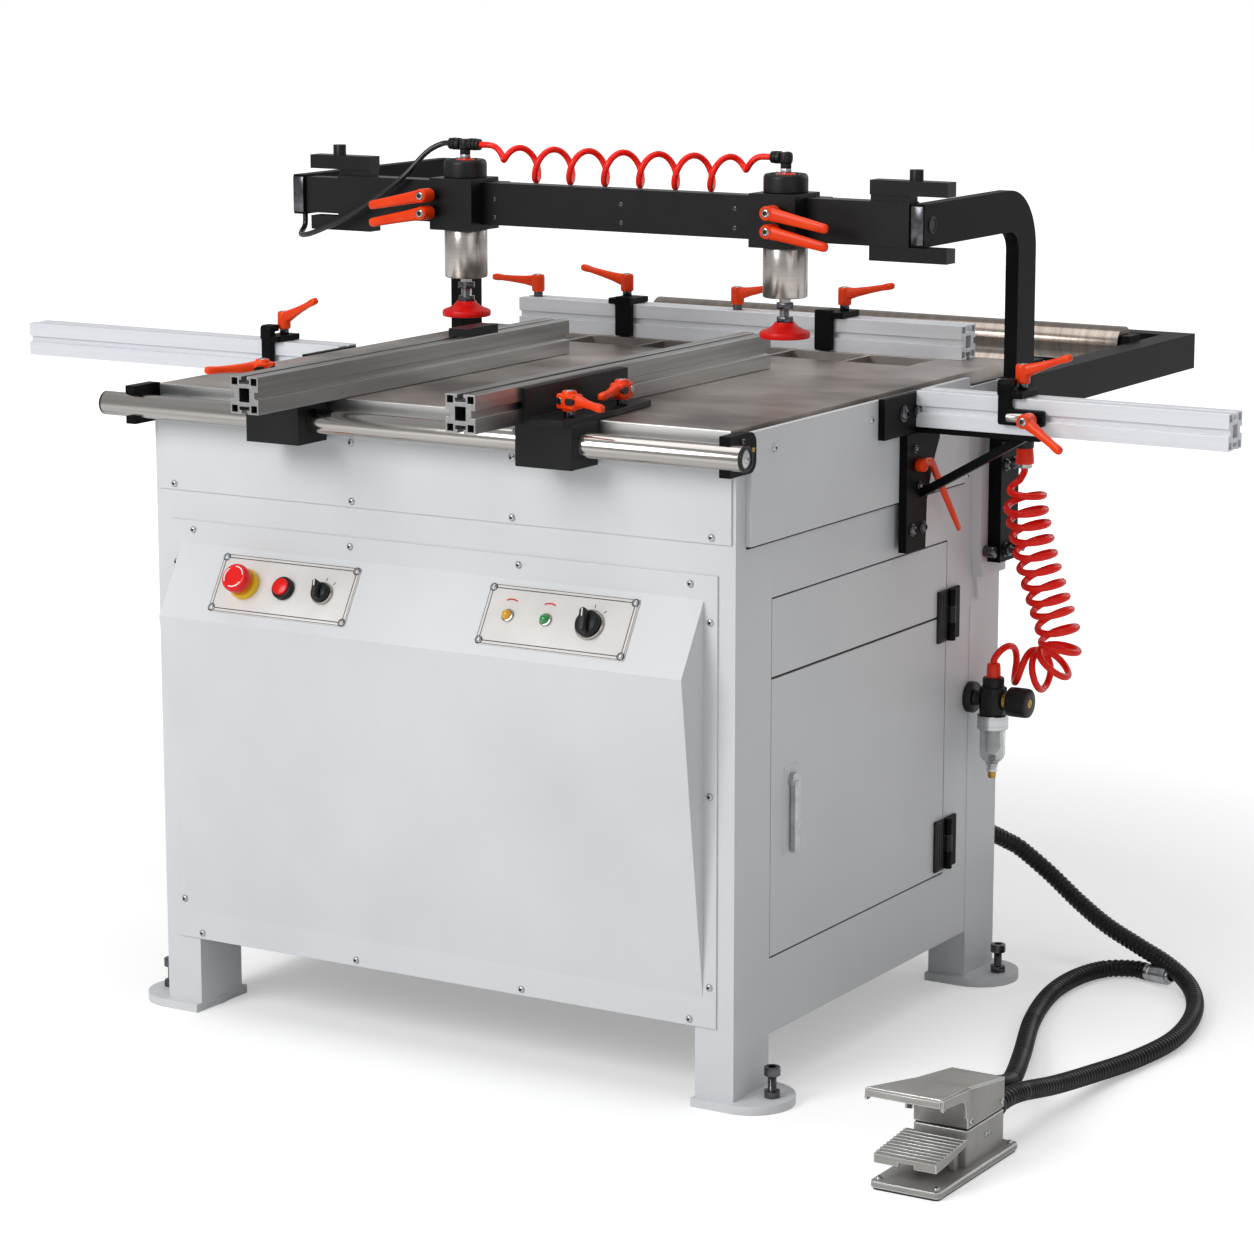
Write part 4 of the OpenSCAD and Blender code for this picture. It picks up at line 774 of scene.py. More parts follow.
# node: (hub's seat, turn about the hub, arm's length, arm's rise, points to the front)
LEVERS = {
    "left_fence_lever": ((-224.5, -71, FENCE_SEAT_Z + 13), -120, 78, 0, False),
    "right_fence_lever_front": ((246, -48, FENCE_SEAT_Z), -12, 55, -8, False),
    "right_fence_lever_rear": ((246, 82, FENCE_SEAT_Z), -90, 50, -8, False),
    "left_stop_lever": ((-600, 489.5, STOP_SEAT_Z), 0, 64, 27, False),
    "right_stop_lever": ((632, 489.5, STOP_SEAT_Z), 0, 70, 19, False),
    "rear_stop_left_lever": ((-188, 812.5, REAR_STOP_SEAT_Z), 180, 78, 12, False),
    "rear_stop_right_lever": ((188, 812.5, REAR_STOP_SEAT_Z), 0, 78, 12, False),
    "rear_fence_lever_left": ((-349, 812.5, 950.2), 180, 78, 2, False),
    "rear_fence_lever_right": ((6, 812.5, 950.2), 0, 78, 12, False),
    "right_clamp_lever": ((664, 455.5, 875), -31, 66, 12, True),
    "left_lever_upper": ((-252, FRONT_SEAT_Y, 1142.5), 191, 88, 0, True),
    "left_lever_lower": ((-252, FRONT_SEAT_Y, 1117.5), 191, 88, 0, True),
    "right_lever_upper": ((312, FRONT_SEAT_Y, 1142.5), -11, 88, 0, True),
    "right_lever_lower": ((312, FRONT_SEAT_Y, 1117.5), -11, 88, 0, True),
}
# Levers whose hub is a forked cam with a cross pin
CAM_LEVERS = ("left_fence_lever", "right_fence_lever_front", "right_fence_lever_rear")


def lever_section(x, width, height, place, steps=16):
    """A ring of the arm: an oval with flattened sides, across the arm."""
    ring = []
    for k in range(steps):
        a = 2 * math.pi * k / steps
        c, s = math.cos(a), math.sin(a)
        y = width / 2 * math.copysign(abs(c) ** 0.6, c)
        z = height / 2 * math.copysign(abs(s) ** 0.6, s)
        ring.append(place @ (Vector((x, y, z)) * MM))
    return ring


# Arms longer than this, in mm, are the stout ones
STOUT_FROM = 80


def clamp_lever(node, seat, turn, length, rise, to_front):
    """Cast lever: a dark foot, a hub with a bright socket screw and a tapering arm."""
    if to_front:
        place = turned(seat, (-turn, "Y"), (90, "X"))
    else:
        place = turned(seat, (turn, "Z"))
    stout = length > STOUT_FROM
    piece = Piece(node + "_casting")
    piece.lathe([(0, 0), (6.8, 0), (7, 0.4), (7, 8.4), (0, 8.4)], place, black_oxide)
    piece.lathe([(6.5, 8), (9, 8), (9.6, 8.8), (10, 11), (10, 30), (9.4, 33), (8.6, 34), (6.4, 34),
                 (6.2, 33.4), (6.2, 31)], place, lever_coat)
    piece.lathe([(6.1, 31), (6.1, 33.6), (5.6, 34.6), (4.9, 35.0), (3.2, 35.0), (3.0, 32.4),
                 (0, 32.4)], place, chromed_bar)
    piece.prism(hexagon(3.0), 32.0, 33.0, place, socket_dark)
    lift = 26.0 if stout else 23.5
    arm = place @ moved(0, 0, lift) @ spun(-rise, "Y")
    if stout:
        stations = ((3, 18.6, 15), (9, 18.4, 14.6), (20, 17, 13), (0.55 * length, 15, 11),
                    (length - 10, 13.4, 10), (length, 13, 10), (length + 3.5, 11, 8.4),
                    (length + 5.4, 6, 5))
    else:
        stations = ((3, 16, 18.4), (9, 15, 17.4), (22, 12.6, 13.6), (0.55 * length, 11, 10.6),
                    (length - 13, 10.6, 9), (length - 6, 11.4, 10.4), (length, 11.4, 10.4),
                    (length + 3.5, 9.6, 8.8), (length + 5.4, 5, 4.5))
    piece.rings([lever_section(x, w, h, arm) for x, w, h in stations], lever_coat)
    if node in CAM_LEVERS:
        piece.prism(rounded(31, 22, 5), 10.4, 30, place, lever_coat, edge=2.4, segments=3)
        pin = place @ moved(-8, 0, 21) @ spun(90, "X")
        piece.lathe([(0, -12.2), (4.6, -12.2), (5, -11.6), (5, 11.6), (4.6, 12.2), (0, 12.2)], pin,
                    chromed_bar, 28)
        piece.prism(rounded(13, 9, 3), -11.5, 11.5, pin @ moved(17, 0, 0), socket_dark)
    piece.done(nodes[node]["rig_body"], "orange_plastic", node)


for node, facts in LEVERS.items():
    clamp_lever(node, *facts)


def bracket_handle():
    """Cranked handle on the right fence bracket: round head, neck and a thinning grip."""
    head = turned((485.2, 470, 797))
    flat = head @ spun(90, "Y")
    piece = Piece("bracket_handle")
    piece.lathe([(0, 0), (8.6, 0), (9, 0.6), (9, 10), (8, 12.4), (5, 13.6), (3.4, 14), (3.2, 12.6),
                 (0, 12.6)], flat, lever_coat)
    path = [(0, 1.5), (10, 3), (20, 3.2), (27, 1.2), (31.5, -3.4), (36, -9.4), (45, -20),
            (60, -37.5), (76, -56.5), (92, -75.6), (106, -92.2), (117, -105.4), (119.2, -108)]
    sizes = [(7, 12), (7, 11.6), (7, 11.4), (7, 11.6), (7, 12), (7, 12), (7, 11.6), (6.8, 11),
             (6.6, 10.4), (6.2, 9.6), (5.8, 8.8), (5, 7.4), (2, 3)]
    rings = []
    for i, ((y, z), (thick, wide)) in enumerate(zip(path, sizes)):
        y0, z0 = path[max(i - 1, 0)]
        y1, z1 = path[min(i + 1, len(path) - 1)]
        turn = Matrix.Rotation(math.atan2(z1 - z0, y1 - y0), 4, "X")
        rings.append(lever_section(0, thick, wide, head @ moved(7, y, z) @ turn @ spun(90, "Z")))
    piece.rings(rings, lever_coat)
    piece.done("bracket_lever", "orange_plastic", "bracket_lever")


bracket_handle()


# Screws, bolts and their sockets

# Faces that the heads sit on
COVER_FACE_Y = -3
SKIRT_FACE_X = 473
FOOT_TOP_Z = 12
SHELF_FACE_X = 483
BRACE_FACE_X = 485
RAIL_BRACKET_FACE_X = 481
LEFT_POST_FACE_X, RIGHT_POST_FACE_X = -520, 500
BEAM_END_X = 520
BEAM_FRONT_Y = 410


def facing_right(x, y, z):
    return turned((x, y, z), (90, "Y"))


def facing_left(x, y, z):
    return turned((x, y, z), (-90, "Y"))


def facing_front(x, y, z):
    return turned((x, y, z), (90, "X"))


def outward(side):
    """How things face on the machine's right side, for 1, or on its left, for -1."""
    return facing_right if side > 0 else facing_left


def button_screw(piece, place, radius=5.0, height=3.4, material=None):
    """Button-head screw with a hexagon socket, its washer face at the placement."""
    r, h = radius, height
    piece.lathe([(r * 0.9, -0.3), (r, 0), (r, h * 0.14), (r * 0.92, h * 0.47), (r * 0.72, h * 0.8),
                 (r * 0.46, h), (r * 0.42, h), (r * 0.4, h * 0.45), (0, h * 0.45)], place,
                material or zinc_plate, sides=24)
    piece.prism(hexagon(r * 0.39), h * 0.4, h * 0.55, place, socket_dark)


def washer(piece, place, radius, height, material):
    r, h = radius, height
    piece.lathe([(r * 0.3, 0), (r - 0.3, 0), (r, 0.3), (r, h - 0.3), (r - 0.3, h), (r * 0.3, h)],
                place, material, sides=28)


def bolt(piece, place, radius, height, rim, thickness):
    """Dark button-head bolt on a washer that stands out by a rim."""
    washer(piece, place, radius + rim, thickness, black_oxide)
    button_screw(piece, place @ moved(0, 0, thickness), radius, height, black_oxide)


def threaded(low, high, radius, pitch):
    """Profile of a thread, drawn as rings."""
    profile = []
    z = low
    while z < high:
        profile += [(radius, z), (radius - pitch * 0.32, z + pitch / 2)]
        z += pitch
    return profile + [(radius, high)]


def cabinet_fixings():
    """Screws of the cover and the skirts, and the levelling bolts in the foot plates."""
    piece = Piece("cabinet_fixings")
    places = [(-431, 761), (-130, 761), (128, 761), (431, 761), (-130, 841), (128, 841)]
    places += [(x, z) for x in (-400, -134, 138, 400) for z in (698.5, 117)]
    places += [(x, z) for x in (-430, 430) for z in (650.5, 420.5, 164)]
    for x, z in places:
        button_screw(piece, facing_front(x, COVER_FACE_Y, z))
    for y, z in ((85, 869), (354, 872), (647, 757)):
        for side in (1, -1):
            button_screw(piece, outward(side)(side * SKIRT_FACE_X, y, z))
    for x in (-497, 497):
        for y in (47.5, 729.5):
            foot = turned((x, y, FOOT_TOP_Z))
            piece.prism(hexagon(12), 0, 9.6, foot, black_oxide, edge=0.8)
            piece.lathe(threaded(9, 31, 6, 1.75), foot, black_oxide, sides=20)
            piece.lathe([(5, 30), (10.4, 30), (11, 30.6), (11, 41.2), (10.2, 42), (5.6, 42),
                         (5.2, 38), (0, 38)], foot, black_oxide, sides=28)
    piece.done("machine", "zinc_steel", "fasteners")


cabinet_fixings()


def bracket_bolts():
    """Bolts of the fence brackets, the posts and the beam, each on its plate."""
    piece = Piece("bracket_bolts")
    for side in (1, -1):
        facing = outward(side)
        for y, z in ((430, 872), (474, 872)):
            bolt(piece, facing(side * SHELF_FACE_X, y, z), 8.5, 5.0, 3, 1.6)
        for y, z, r in ((456, 708, 7), (488, 708, 7), (476, 768, 4), (462, 820, 4)):
            bolt(piece, facing(side * BRACE_FACE_X, y, z), r, 4.4, 2, 1.4)
        for y, z in ((-12, 856), (-12, 890)):
            button_screw(piece, facing(side * RAIL_BRACKET_FACE_X, y, z), 4.2, 3.0, black_oxide)
        button_screw(piece, facing(side * RAIL_BRACKET_FACE_X, 15, 876), 3.4, 2.6, fitting_brass)
    for y, z in ((720, 765), (746, 765)):
        bolt(piece, facing_right(RIGHT_POST_FACE_X, y, z), 7.5, 5.5, 1.5, 1.6)
    for y, z in ((722, 642), (750, 642)):
        place = facing_right(RIGHT_POST_FACE_X, y, z)
        washer(piece, place, 10, 1.8, black_oxide)
        piece.prism(hexagon(8.6), 1.6, 9, place, black_oxide, edge=0.7)
        piece.lathe(threaded(8.6, 16, 5, 1.5) + [(0, 16)], place, black_oxide, 20)
    piece.lathe([(3, 0), (8.2, 0), (8.6, 0.6), (8.6, 16.4), (8.2, 17), (3, 17)],
                facing_right(480.2, 696, 642), black_oxide, 28)
    for y, z in ((838, 648), (868, 648), (838, 760), (868, 760)):
        bolt(piece, facing_left(LEFT_POST_FACE_X, y, z), 7.5, 5.5, 1.5, 1.6)
    for x, z in ((-167, 1111), (-167, 1137), (45, 1113), (45, 1139), (228, 1114), (228, 1141)):
        button_screw(piece, facing_front(x, BEAM_FRONT_Y, z), 3.0, 0.2, black_oxide)
    for side in (1, -1):
        piece.lathe([(11, -0.2), (11.4, 0.6), (10.6, 1.2), (9.6, 1.2), (9.2, 0.2), (0, 0.2)],
                    outward(side)(side * BEAM_END_X, 434, 1130), socket_dark, 36)
        middle = side * 510
        piece.block((middle - 9, 407.6, 1104), (middle + 9, 410.2, 1156), black_oxide, 0.8)
    piece.done("machine", "black_paint")


bracket_bolts()


def rail_caps():
    """Black rim with a turned plug on the rail's right end, flat black cap on its left end."""
    piece = Piece("rail_end_caps")
    end = facing_right(RAIL_RIGHT_X, RAIL_Y, RAIL_Z)
    piece.lathe([(12, 0), (16.4, 0), (16.8, 0.6), (16.8, 4), (16, 5), (13, 5), (12.4, 4.2),
                 (12, 2)], end, black_nylon)
    piece.lathe([(0, 0), (12.2, 0), (12.2, 2.8), (11, 3.6), (5.4, 3.8), (5, 4.8), (4, 5.6),
                 (2.2, 5.8), (2, 4.6), (0, 4.6)], end, zinc_plate)
    piece.lathe([(16.4, 0), (16.4, 3), (15.4, 4), (6, 4), (5.4, 2.4), (0, 2.4)],
                facing_left(RAIL_LEFT_X, RAIL_Y, RAIL_Z), black_nylon)
    piece.done("machine", "bright_steel")


rail_caps()


def stop_hook(node, x):
    """Strap that folds over the side stop's flag towards the lever."""
    piece = Piece(node + "_hook")
    outline = [(454.6, 904), (454.6, 919)]
    outline += arc(460.6, 919, 6, 165, 90, 5)
    outline += [(477, 925), (477, 915), (467.4, 915), (467.4, 904)]
    piece.prism(outline, -9.6, 9.6, turned((x, 0, 0), (90, "Z"), (90, "X")), black_coat, edge=0.9)
    piece.done(node, "black_paint")


def table_edge():
    """Milled front edge of the table plate, with its chamfer."""
    piece = Piece("table_front_edge")
    outline = [(1.2, 880.2), (2.4, 880.2), (2.4, 899.4), (1.9, 899.4), (1.2, 898.6)]
    along = turned((-456, 0, 0), (90, "Z"), (90, "X"))
    piece.prism(outline, 0, 912, along, milled_edge, edge=0.2)
    piece.done("machine", "table_steel")


def clamp_sleeve():
    """Ground sleeve between the right stop's flag and its clamp lever."""
    piece = Piece("clamp_sleeve")
    piece.lathe([(3, 0), (6, 0), (6.4, 0.5), (6.4, 22.4), (6, 23), (3, 23)],
                facing_right(629.4, 449, 876), chromed_bar, 32)
    piece.done("right_stop", "black_paint")


stop_hook("left_stop", -610)
stop_hook("right_stop", 620)
table_edge()
clamp_sleeve()


# Hold-down cylinders and feet

def press_cylinder(side, x):
    """Cylinder on its carriage: barrel, head with three screws, fitting and push-in collars."""
    place = turned((x, PRESS_Y, 0))
    piece = Piece(side + "_press_cylinder")
    piece.lathe([(8.3, 1022), (28.4, 1022), (30.2, 1022.7), (31, 1024.4), (31, 1089.6),
                 (30.2, 1091.6), (8.3, 1092)], place, nickel_barrel, 64)
    piece.lathe([(14, 1166), (30, 1166), (31, 1167), (31, 1185), (30.4, 1188.4), (28.8, 1190.8),
                 (26.6, 1191.6), (25.2, 1191.2), (24.6, 1189.6), (9, 1189.6)], place, black_nylon,
                56)
    piece.lathe([(8, 1189.4), (14, 1189.4), (14, 1190.6), (12, 1192), (8, 1192.2)], place,
                connector_red, 32)
    for dx, dy in polygon(3, 20, 35):
        button_screw(piece, turned((x + dx, PRESS_Y + dy, 1189.6)), 3.6, 3.0, black_oxide)
    piece.prism(hexagon(8.6), 1191.8, 1198.4, place, zinc_plate, edge=0.6)
    piece.lathe([(5, 1198), (7.2, 1198), (7.6, 1199), (7.6, 1205), (9, 1206.4), (9.4, 1209),
                 (9.4, 1217), (8.6, 1219.4), (6, 1220.4), (0, 1220.4)], place, black_nylon, 32)
    collar = [(6.4, 0), (8.6, 0), (8.8, 6), (7.4, 7), (7.4, 8.2), (8.8, 9), (8.8, 11.6),
              (7.4, 12.4), (7.4, 13.6), (8.4, 14.4), (8.2, 17.6), (6.2, 18.2), (5, 18.2)]
    if side == "left":
        piece.lathe(collar, facing_right(x + 7.8, PRESS_Y, FITTING_Z), black_nylon, 28)
        piece.lathe(collar, facing_left(x - 7.8, PRESS_Y, FITTING_Z), black_nylon, 28)
    else:
        piece.lathe([(r, z * 0.78) for r, z in collar], facing_left(x - 7.8, PRESS_Y, FITTING_Z),
                    black_nylon, 28)
        piece.lathe([(6, 0), (8.4, 0), (8.4, 5.4), (7.4, 7), (0, 7)],
                    facing_right(x, PRESS_Y, FITTING_Z), black_nylon, 28)
    piece.done(side + "_carriage", "alloy", side + "_cylinder")


def press_foot(side, x):
    """Piston rod with its nuts and the red pad."""
    place = turned((x, PRESS_Y, 0))
    piece = Piece(side + "_press_pad")
    piece.lathe([(0, 966), (33, 966), (34.4, 966.6), (35, 968), (35, 973), (34.2, 974.8),
                 (31, 976.4), (26, 978.2), (20.6, 980.8), (16.8, 983.8), (14.6, 986.6), (14, 988),
                 (0, 988)], place, pad_rubber, 64)
    piece.prism(hexagon(13), 987.6, 995.4, place, black_oxide, edge=0.9)
    piece.lathe(threaded(995, 1007, 7.9, 2.0), place, zinc_plate, 32)
    piece.prism(hexagon(13.4), 1006.6, 1015, place, black_oxide, edge=0.9)
    piece.lathe([(7.9, 1014), (7.9, 1079), (7, 1080), (0, 1080)], place, chromed_bar, 40)
    piece.done(side + "_press_foot", "red_rubber", side + "_press_foot")


for side, x in PRESS_X.items():
    press_cylinder(side, x)
    press_foot(side, x)


# Control plates on the cover's slope, with their buttons and lamps

SLOPE = 59.162
SLOPE_Y, SLOPE_Z = -30, 634.25
STOP_X, START_X, LEFT_DIAL_X, RIGHT_DIAL_X = -290, -224, -160, 266
# Height of printed marks over the slope
PRINT_TOP = 2.08
PRINT_DEPTH = 0.3


def on_slope(x, up=0.0):
    """A placement on the middle line of the cover's slope, or a way up from it."""
    return turned((x, SLOPE_Y, SLOPE_Z), (SLOPE, "X")) @ moved(0, up, 0)


def line_frame(piece, place, width, height, line):
    """Printed outline of four thin lines."""
    w, h = width / 2, height / 2
    edges = (((-w, h - line), (w, h)), ((-w, -h), (w, line - h)),
             ((-w, -h), (line - w, h)), ((w - line, -h), (w, h)))
    for low, high in edges:
        piece.block((*low, PRINT_TOP - PRINT_DEPTH), (*high, PRINT_TOP), ink_black, edge=0,
                    place=place)


def arc_mark(piece, place, inner, outer, start, end, z, material, height=0.35):
    """A printed arc, as a thin raised band."""
    steps = max(4, int(abs(end - start) / 8))
    outline = arc(0, 0, outer, start, end, steps) + arc(0, 0, inner, end, start, steps)
    piece.prism(outline, z - height, z, place, material)


def dial_ticks(piece, place, radius):
    for a in (-40, 0, 40):
        piece.block((-0.6, radius, PRINT_TOP - PRINT_DEPTH), (0.6, radius + 5, PRINT_TOP),
                    ink_black, edge=0, place=place @ spun(a, "Z"))


def control_plate(name, x, *replaced):
    """Label plate with corner screws and the fixed parts of its buttons, dials and lamps."""
    piece = Piece(name)
    place = on_slope(x)
    piece.prism(rounded(230, 86, 3, 3), 0, 2, place, label_sheet, edge=0.5)
    line_frame(piece, place, 228, 84, 0.8)
    line_frame(piece, place, 220, 76, 1.3)
    for sx in (-1, 1):
        for sy in (-1, 1):
            corner = place @ moved(sx * 109.4, sy * 37.4, 2)
            piece.lathe([(0, 0), (5.6, 0), (5.6, 0.7), (4.8, 1.2), (0, 1.2)], corner, black_oxide,
                        28)
            piece.lathe([(0, 0.4), (4.2, 0.4), (4.0, 1.7), (3.0, 2.6), (1.7, 3.0), (1.5, 2.0),
                         (0, 2.0)], corner, zinc_plate, 24)
    if x < 0:
        stop, start, dial = on_slope(STOP_X), on_slope(START_X), on_slope(LEFT_DIAL_X)
        piece.lathe([(9.3, 2), (21.4, 2), (22, 2.6), (22, 8.6), (21, 10.6), (18, 12), (9.3, 12)],
                    stop, collar_yellow, 56)
        piece.lathe([(12.4, 2), (15.4, 2), (16, 2.6), (16, 9.4), (15, 11.4), (13.4, 12),
                     (12.4, 11.6)], start, black_nylon, 48)
        piece.lathe([(6.4, 2), (15.4, 2), (16, 2.6), (16, 5.6), (14.8, 7), (6.4, 7)], dial,
                    chromed_bar, 48)
        dial_ticks(piece, dial, 19)
    else:
        dial = on_slope(RIGHT_DIAL_X)
        piece.lathe([(6.4, 2), (20.2, 2), (21, 2.8), (21, 5.4), (19.6, 7), (6.4, 7)], dial,
                    chromed_bar, 56)
        dial_ticks(piece, dial, 24)
        for lamp_x, lens in ((139, lens_yellow), (198, lens_green)):
            lamp = on_slope(lamp_x)
            piece.lathe([(6.6, 2), (8.6, 2), (9, 2.4), (9, 4.4), (8.2, 5.4), (7.2, 5.6), (6.8, 5)],
                        lamp, chromed_bar, 36)
            piece.lathe([(0, 4), (7, 4), (7, 6), (6.4, 8.4), (4.8, 10.6), (2.6, 11.8), (0, 12.2)],
                        lamp, lens, 36)
            arc_mark(piece, on_slope(lamp_x, 5), 17.2, 19.4, 62, 118, 2.2, ink_red)
    piece.done("machine", "plate_plastic", *replaced)


control_plate("control_plate_left", -225.5, "control_plates")
control_plate("control_plate_right", 214.5)


def push_buttons():
    """Mushroom of the emergency stop and the start button's cap."""
    place = on_slope(STOP_X)
    stop = Piece("stop_mushroom")
    stop.lathe([(0, 7.5), (8.9, 7.5), (8.9, 17.5), (0, 17.5)], place, black_nylon, 32)
    stop.lathe([(0, 17.5), (16.6, 17.5), (18.8, 18.4), (20, 20.6), (20, 29.6), (19.4, 32),
                (17.8, 33.6), (15.6, 34.2), (13.2, 34.2), (12.6, 33.8), (12.2, 33.2), (0, 33.2)],
               place, button_red, 64)
    for first in (15, 135, 255):
        arc_mark(stop, place, 14.0, 15.6, first, first + 78, 34.5, ink_white)
    stop.done("estop_button", "red_plastic", "estop_button")
    place = on_slope(START_X)
    start = Piece("start_cap")
    start.lathe([(0, 7), (12, 7), (12, 14), (11.4, 15.4), (10, 16), (0, 16.2)], place, button_red,
                48)
    start.done("start_button", "red_plastic", "start_button")


push_buttons()


SELECTOR_TURN = 12


def selector_knob(node, x, radius):
    """Selector with a raised grip across it and a white pointer on the grip."""
    place = on_slope(x) @ spun(SELECTOR_TURN, "Z")
    piece = Piece(node + "_knob")
    r = radius
    piece.lathe([(0, 2.3), (5.9, 2.3), (5.9, 7.3), (r - 0.8, 7.3), (r, 8.2), (r, 11.4),
                 (r - 1.4, 13.6), (r - 4, 15.2), (0, 16)], place, black_nylon, 56)
    bar = arc(0, 0.66 * r, 0.26 * r, 0, 180, 12)
    bar += [(-x0, -y0) for x0, y0 in bar]
    piece.prism(bar, 12, 27.2, place, black_nylon, edge=1.6, segments=3)
    piece.block((-0.9, r * 0.2, 26.8), (0.9, r * 0.82, 27.4), ink_white, edge=0, place=place)
    piece.done(node, "black_plastic", node)


selector_knob("left_selector", LEFT_DIAL_X, 14)
selector_knob("right_selector", RIGHT_DIAL_X, 18)


# Air unit on the rear leg

def regulator_body():
    """Body on the leg's boss, with its inlet, red connector, windows and the bowl's ring."""
    centre = turned(AIR_UNIT)
    side = turned(AIR_UNIT, (90, "Y")) @ moved(0, 0, -39)
    body = Piece("air_unit_body")
    body.lathe([(0, 0.2), (21.6, 0.2), (22.6, 1.2), (22.6, 9.6), (21, 11.8), (13, 12), (12, 13),
                (11, 15), (11, 22), (0, 22)], side, black_nylon, 48)
    body.prism(polygon(8, 20, 22.5), -22, 19, centre, black_nylon, edge=2.0, segments=3)
    body.lathe([(12, 17), (18, 18.4), (17, 19), (15.6, 19.4), (15.6, 31), (14.6, 32.6), (11, 32.6),
                (10.4, 31)], centre, black_nylon, 40)
    for a in (-45, -135, -90):
        window = centre @ spun(a, "Z") @ spun(90, "Y")
        tall = [(1.42 * x, 0.74 * y) for x, y in hexagon(10)]
        body.prism(tall, 17.2, 19.4, window, black_nylon, edge=1.0)
    body.lathe([(10, 19), (13.6, 19), (13.6, 26), (12.6, 27), (0, 27)], turned(AIR_UNIT, (90, "Y")),
               fitting_brass, 36)
    body.lathe([(0, 31), (10.2, 31), (10.4, 32.4), (10, 46), (9.4, 51.6), (8.6, 53), (5.4, 53.6),
                (0, 53.6)], centre, connector_red, 36)
    body.lathe([(12, -22), (21.6, -22), (22.5, -22.8), (22.5, -41.8), (21.4, -43), (18.6, -43),
                (12, -41)], centre, turned_alloy, 56)
    body.done("machine", "black_plastic", "regulator_body")


def filter_bowl():
    """Clear bowl with its baffle, float and drain."""
    centre = turned(AIR_UNIT)
    bowl = Piece("filter_bowl_glass")
    outer = [(18.5, -43), (18.5, -77)]
    inner = []
    for k in range(1, 9):
        a = math.radians(90 * k / 9)
        outer.append((18.5 * math.cos(a), -77 - 17.6 * math.sin(a)))
        inner.append((16 * math.cos(a), -77 - 15.2 * math.sin(a)))
    inner = [(0, -92.2)] + inner[::-1] + [(16, -77), (16, -43)]
    bowl.lathe(outer + [(0, -94.6)] + inner, centre, bowl_clear, 48)
    bowl.lathe([(0, -44), (10.6, -44), (11.2, -45), (11.2, -72), (8, -77), (0, -77)], centre,
               baffle_white, 32)
    bowl.lathe([(0, -82), (5, -82), (5, -91), (0, -91)], centre, black_nylon, 20)
    bowl.lathe([(0, -93), (8.6, -93), (9.2, -94.4), (7.6, -97), (7, -101), (8, -102), (8, -105),
                (0, -105)], centre, turned_alloy, 28)
    bowl.lathe([(0, -104.6), (5.8, -104.6), (6, -106), (6, -113), (5.2, -115), (3, -115),
                (2.6, -112), (0, -112)], centre, fitting_brass, 28)
    bowl.done("machine", "clear_bowl", "filter_bowl")


def regulator_knob():
    """Ribbed knob with a brass middle."""
    knob = Piece("regulator_handwheel")
    turn = turned(AIR_UNIT, (90, "Y")) @ moved(0, 0, 26.3)
    knob.lathe([(8, 0), (19.4, 0), (20.8, 1), (21.2, 2.6), (21.2, 28), (20.4, 30.4), (18.4, 31.6),
                (7.4, 31.6), (7, 30.8), (0, 30.8)], turn, black_nylon, 56)
    knob.lathe([(0, 30), (6.6, 30), (6.6, 31.4), (5.8, 32), (3, 32), (2.6, 31.2), (0, 31.2)], turn,
               fitting_brass, 32)
    for k in range(18):
        rib = turn @ spun(20 * k, "Z") @ moved(21, 0, 0)
        knob.block((-0.5, -0.5, 6), (0.5, 0.5, 27), black_nylon, edge=0.25, place=rib)
    knob.done("regulator_knob", "black_plastic", "regulator_knob")


regulator_body()
filter_bowl()
regulator_knob()


def coil_connector():
    """Red push-in connector under the coil's bracket, with its collar and ring."""
    place = turned((COIL_TOP_X, COIL_TOP_Y, 0))
    piece = Piece("coil_connector")
    piece.lathe([(12.1, 820), (12.8, 819.4), (12.8, 804), (12.2, 803), (9.1, 803)], place,
                black_nylon, 40)
    piece.lathe([(9.1, 803.2), (11.2, 803.2), (11.6, 802), (13.4, 784), (13.2, 781.6),
                 (12.4, 780.4), (9.1, 780.2)], place, connector_red, 40)
    piece.lathe([(9.1, 780.6), (10.6, 780.4), (10.6, 776), (9.8, 774.6), (5.2, 774.4)], place,
                chromed_bar, 36)
    piece.done("machine", "red_plastic")


coil_connector()


# Foot pedal

HOOD_SLOPE = math.degrees(math.atan2(30, 210))
BOX_FRONT, BOX_BACK, BOX_HALF = 98, 204, 38
TREAD_Y, TREAD_Z, TREAD_SLOPE = 86, 42, 5


def pedal_at(x, y, z):
    """A placement from the middle of the pedal's front."""
    return turned((PEDAL_X + x, PEDAL_Y + y, z))


def hood_frame():
    """The hood's own frame: lies on the box's back edge and rises to the front."""
    return pedal_at(0, BOX_BACK, 99) @ spun(-HOOD_SLOPE, "X")


def across(place):
    """Frame whose outline lies in the pedal's side view and whose depth runs across it."""
    return place @ spun(90, "Z") @ spun(90, "X")


def pedal_cheek(piece, side):
    """Guard under the hood's flared edge, its lower edge swept down to the box."""
    start, end = Vector((side * 50.6, -209)), Vector((side * BOX_HALF, -105))
    along = end - start
    length = along.length
    turn = Matrix.Rotation(math.atan2(along.y, along.x), 4, "Z") @ spun(90, "X")
    place = hood_frame() @ Matrix.Translation(start.to_3d() * MM) @ turn
    outline = [(0, 2.6), (0, -11), (4, -13), (length * 0.14, -9), (length * 0.56, -10)]
    outline += arc(length * 0.66, -34, 24, 90, 0, 6)
    outline += [(length + 2, -36), (length + 2, 2.6)]
    low, high = (0, 3.2) if side > 0 else (-3.2, 0)
    piece.prism(outline, low, high, place, pedal_enamel, edge=0.8, edge_finish=pedal_edge_wear_and_highlight)


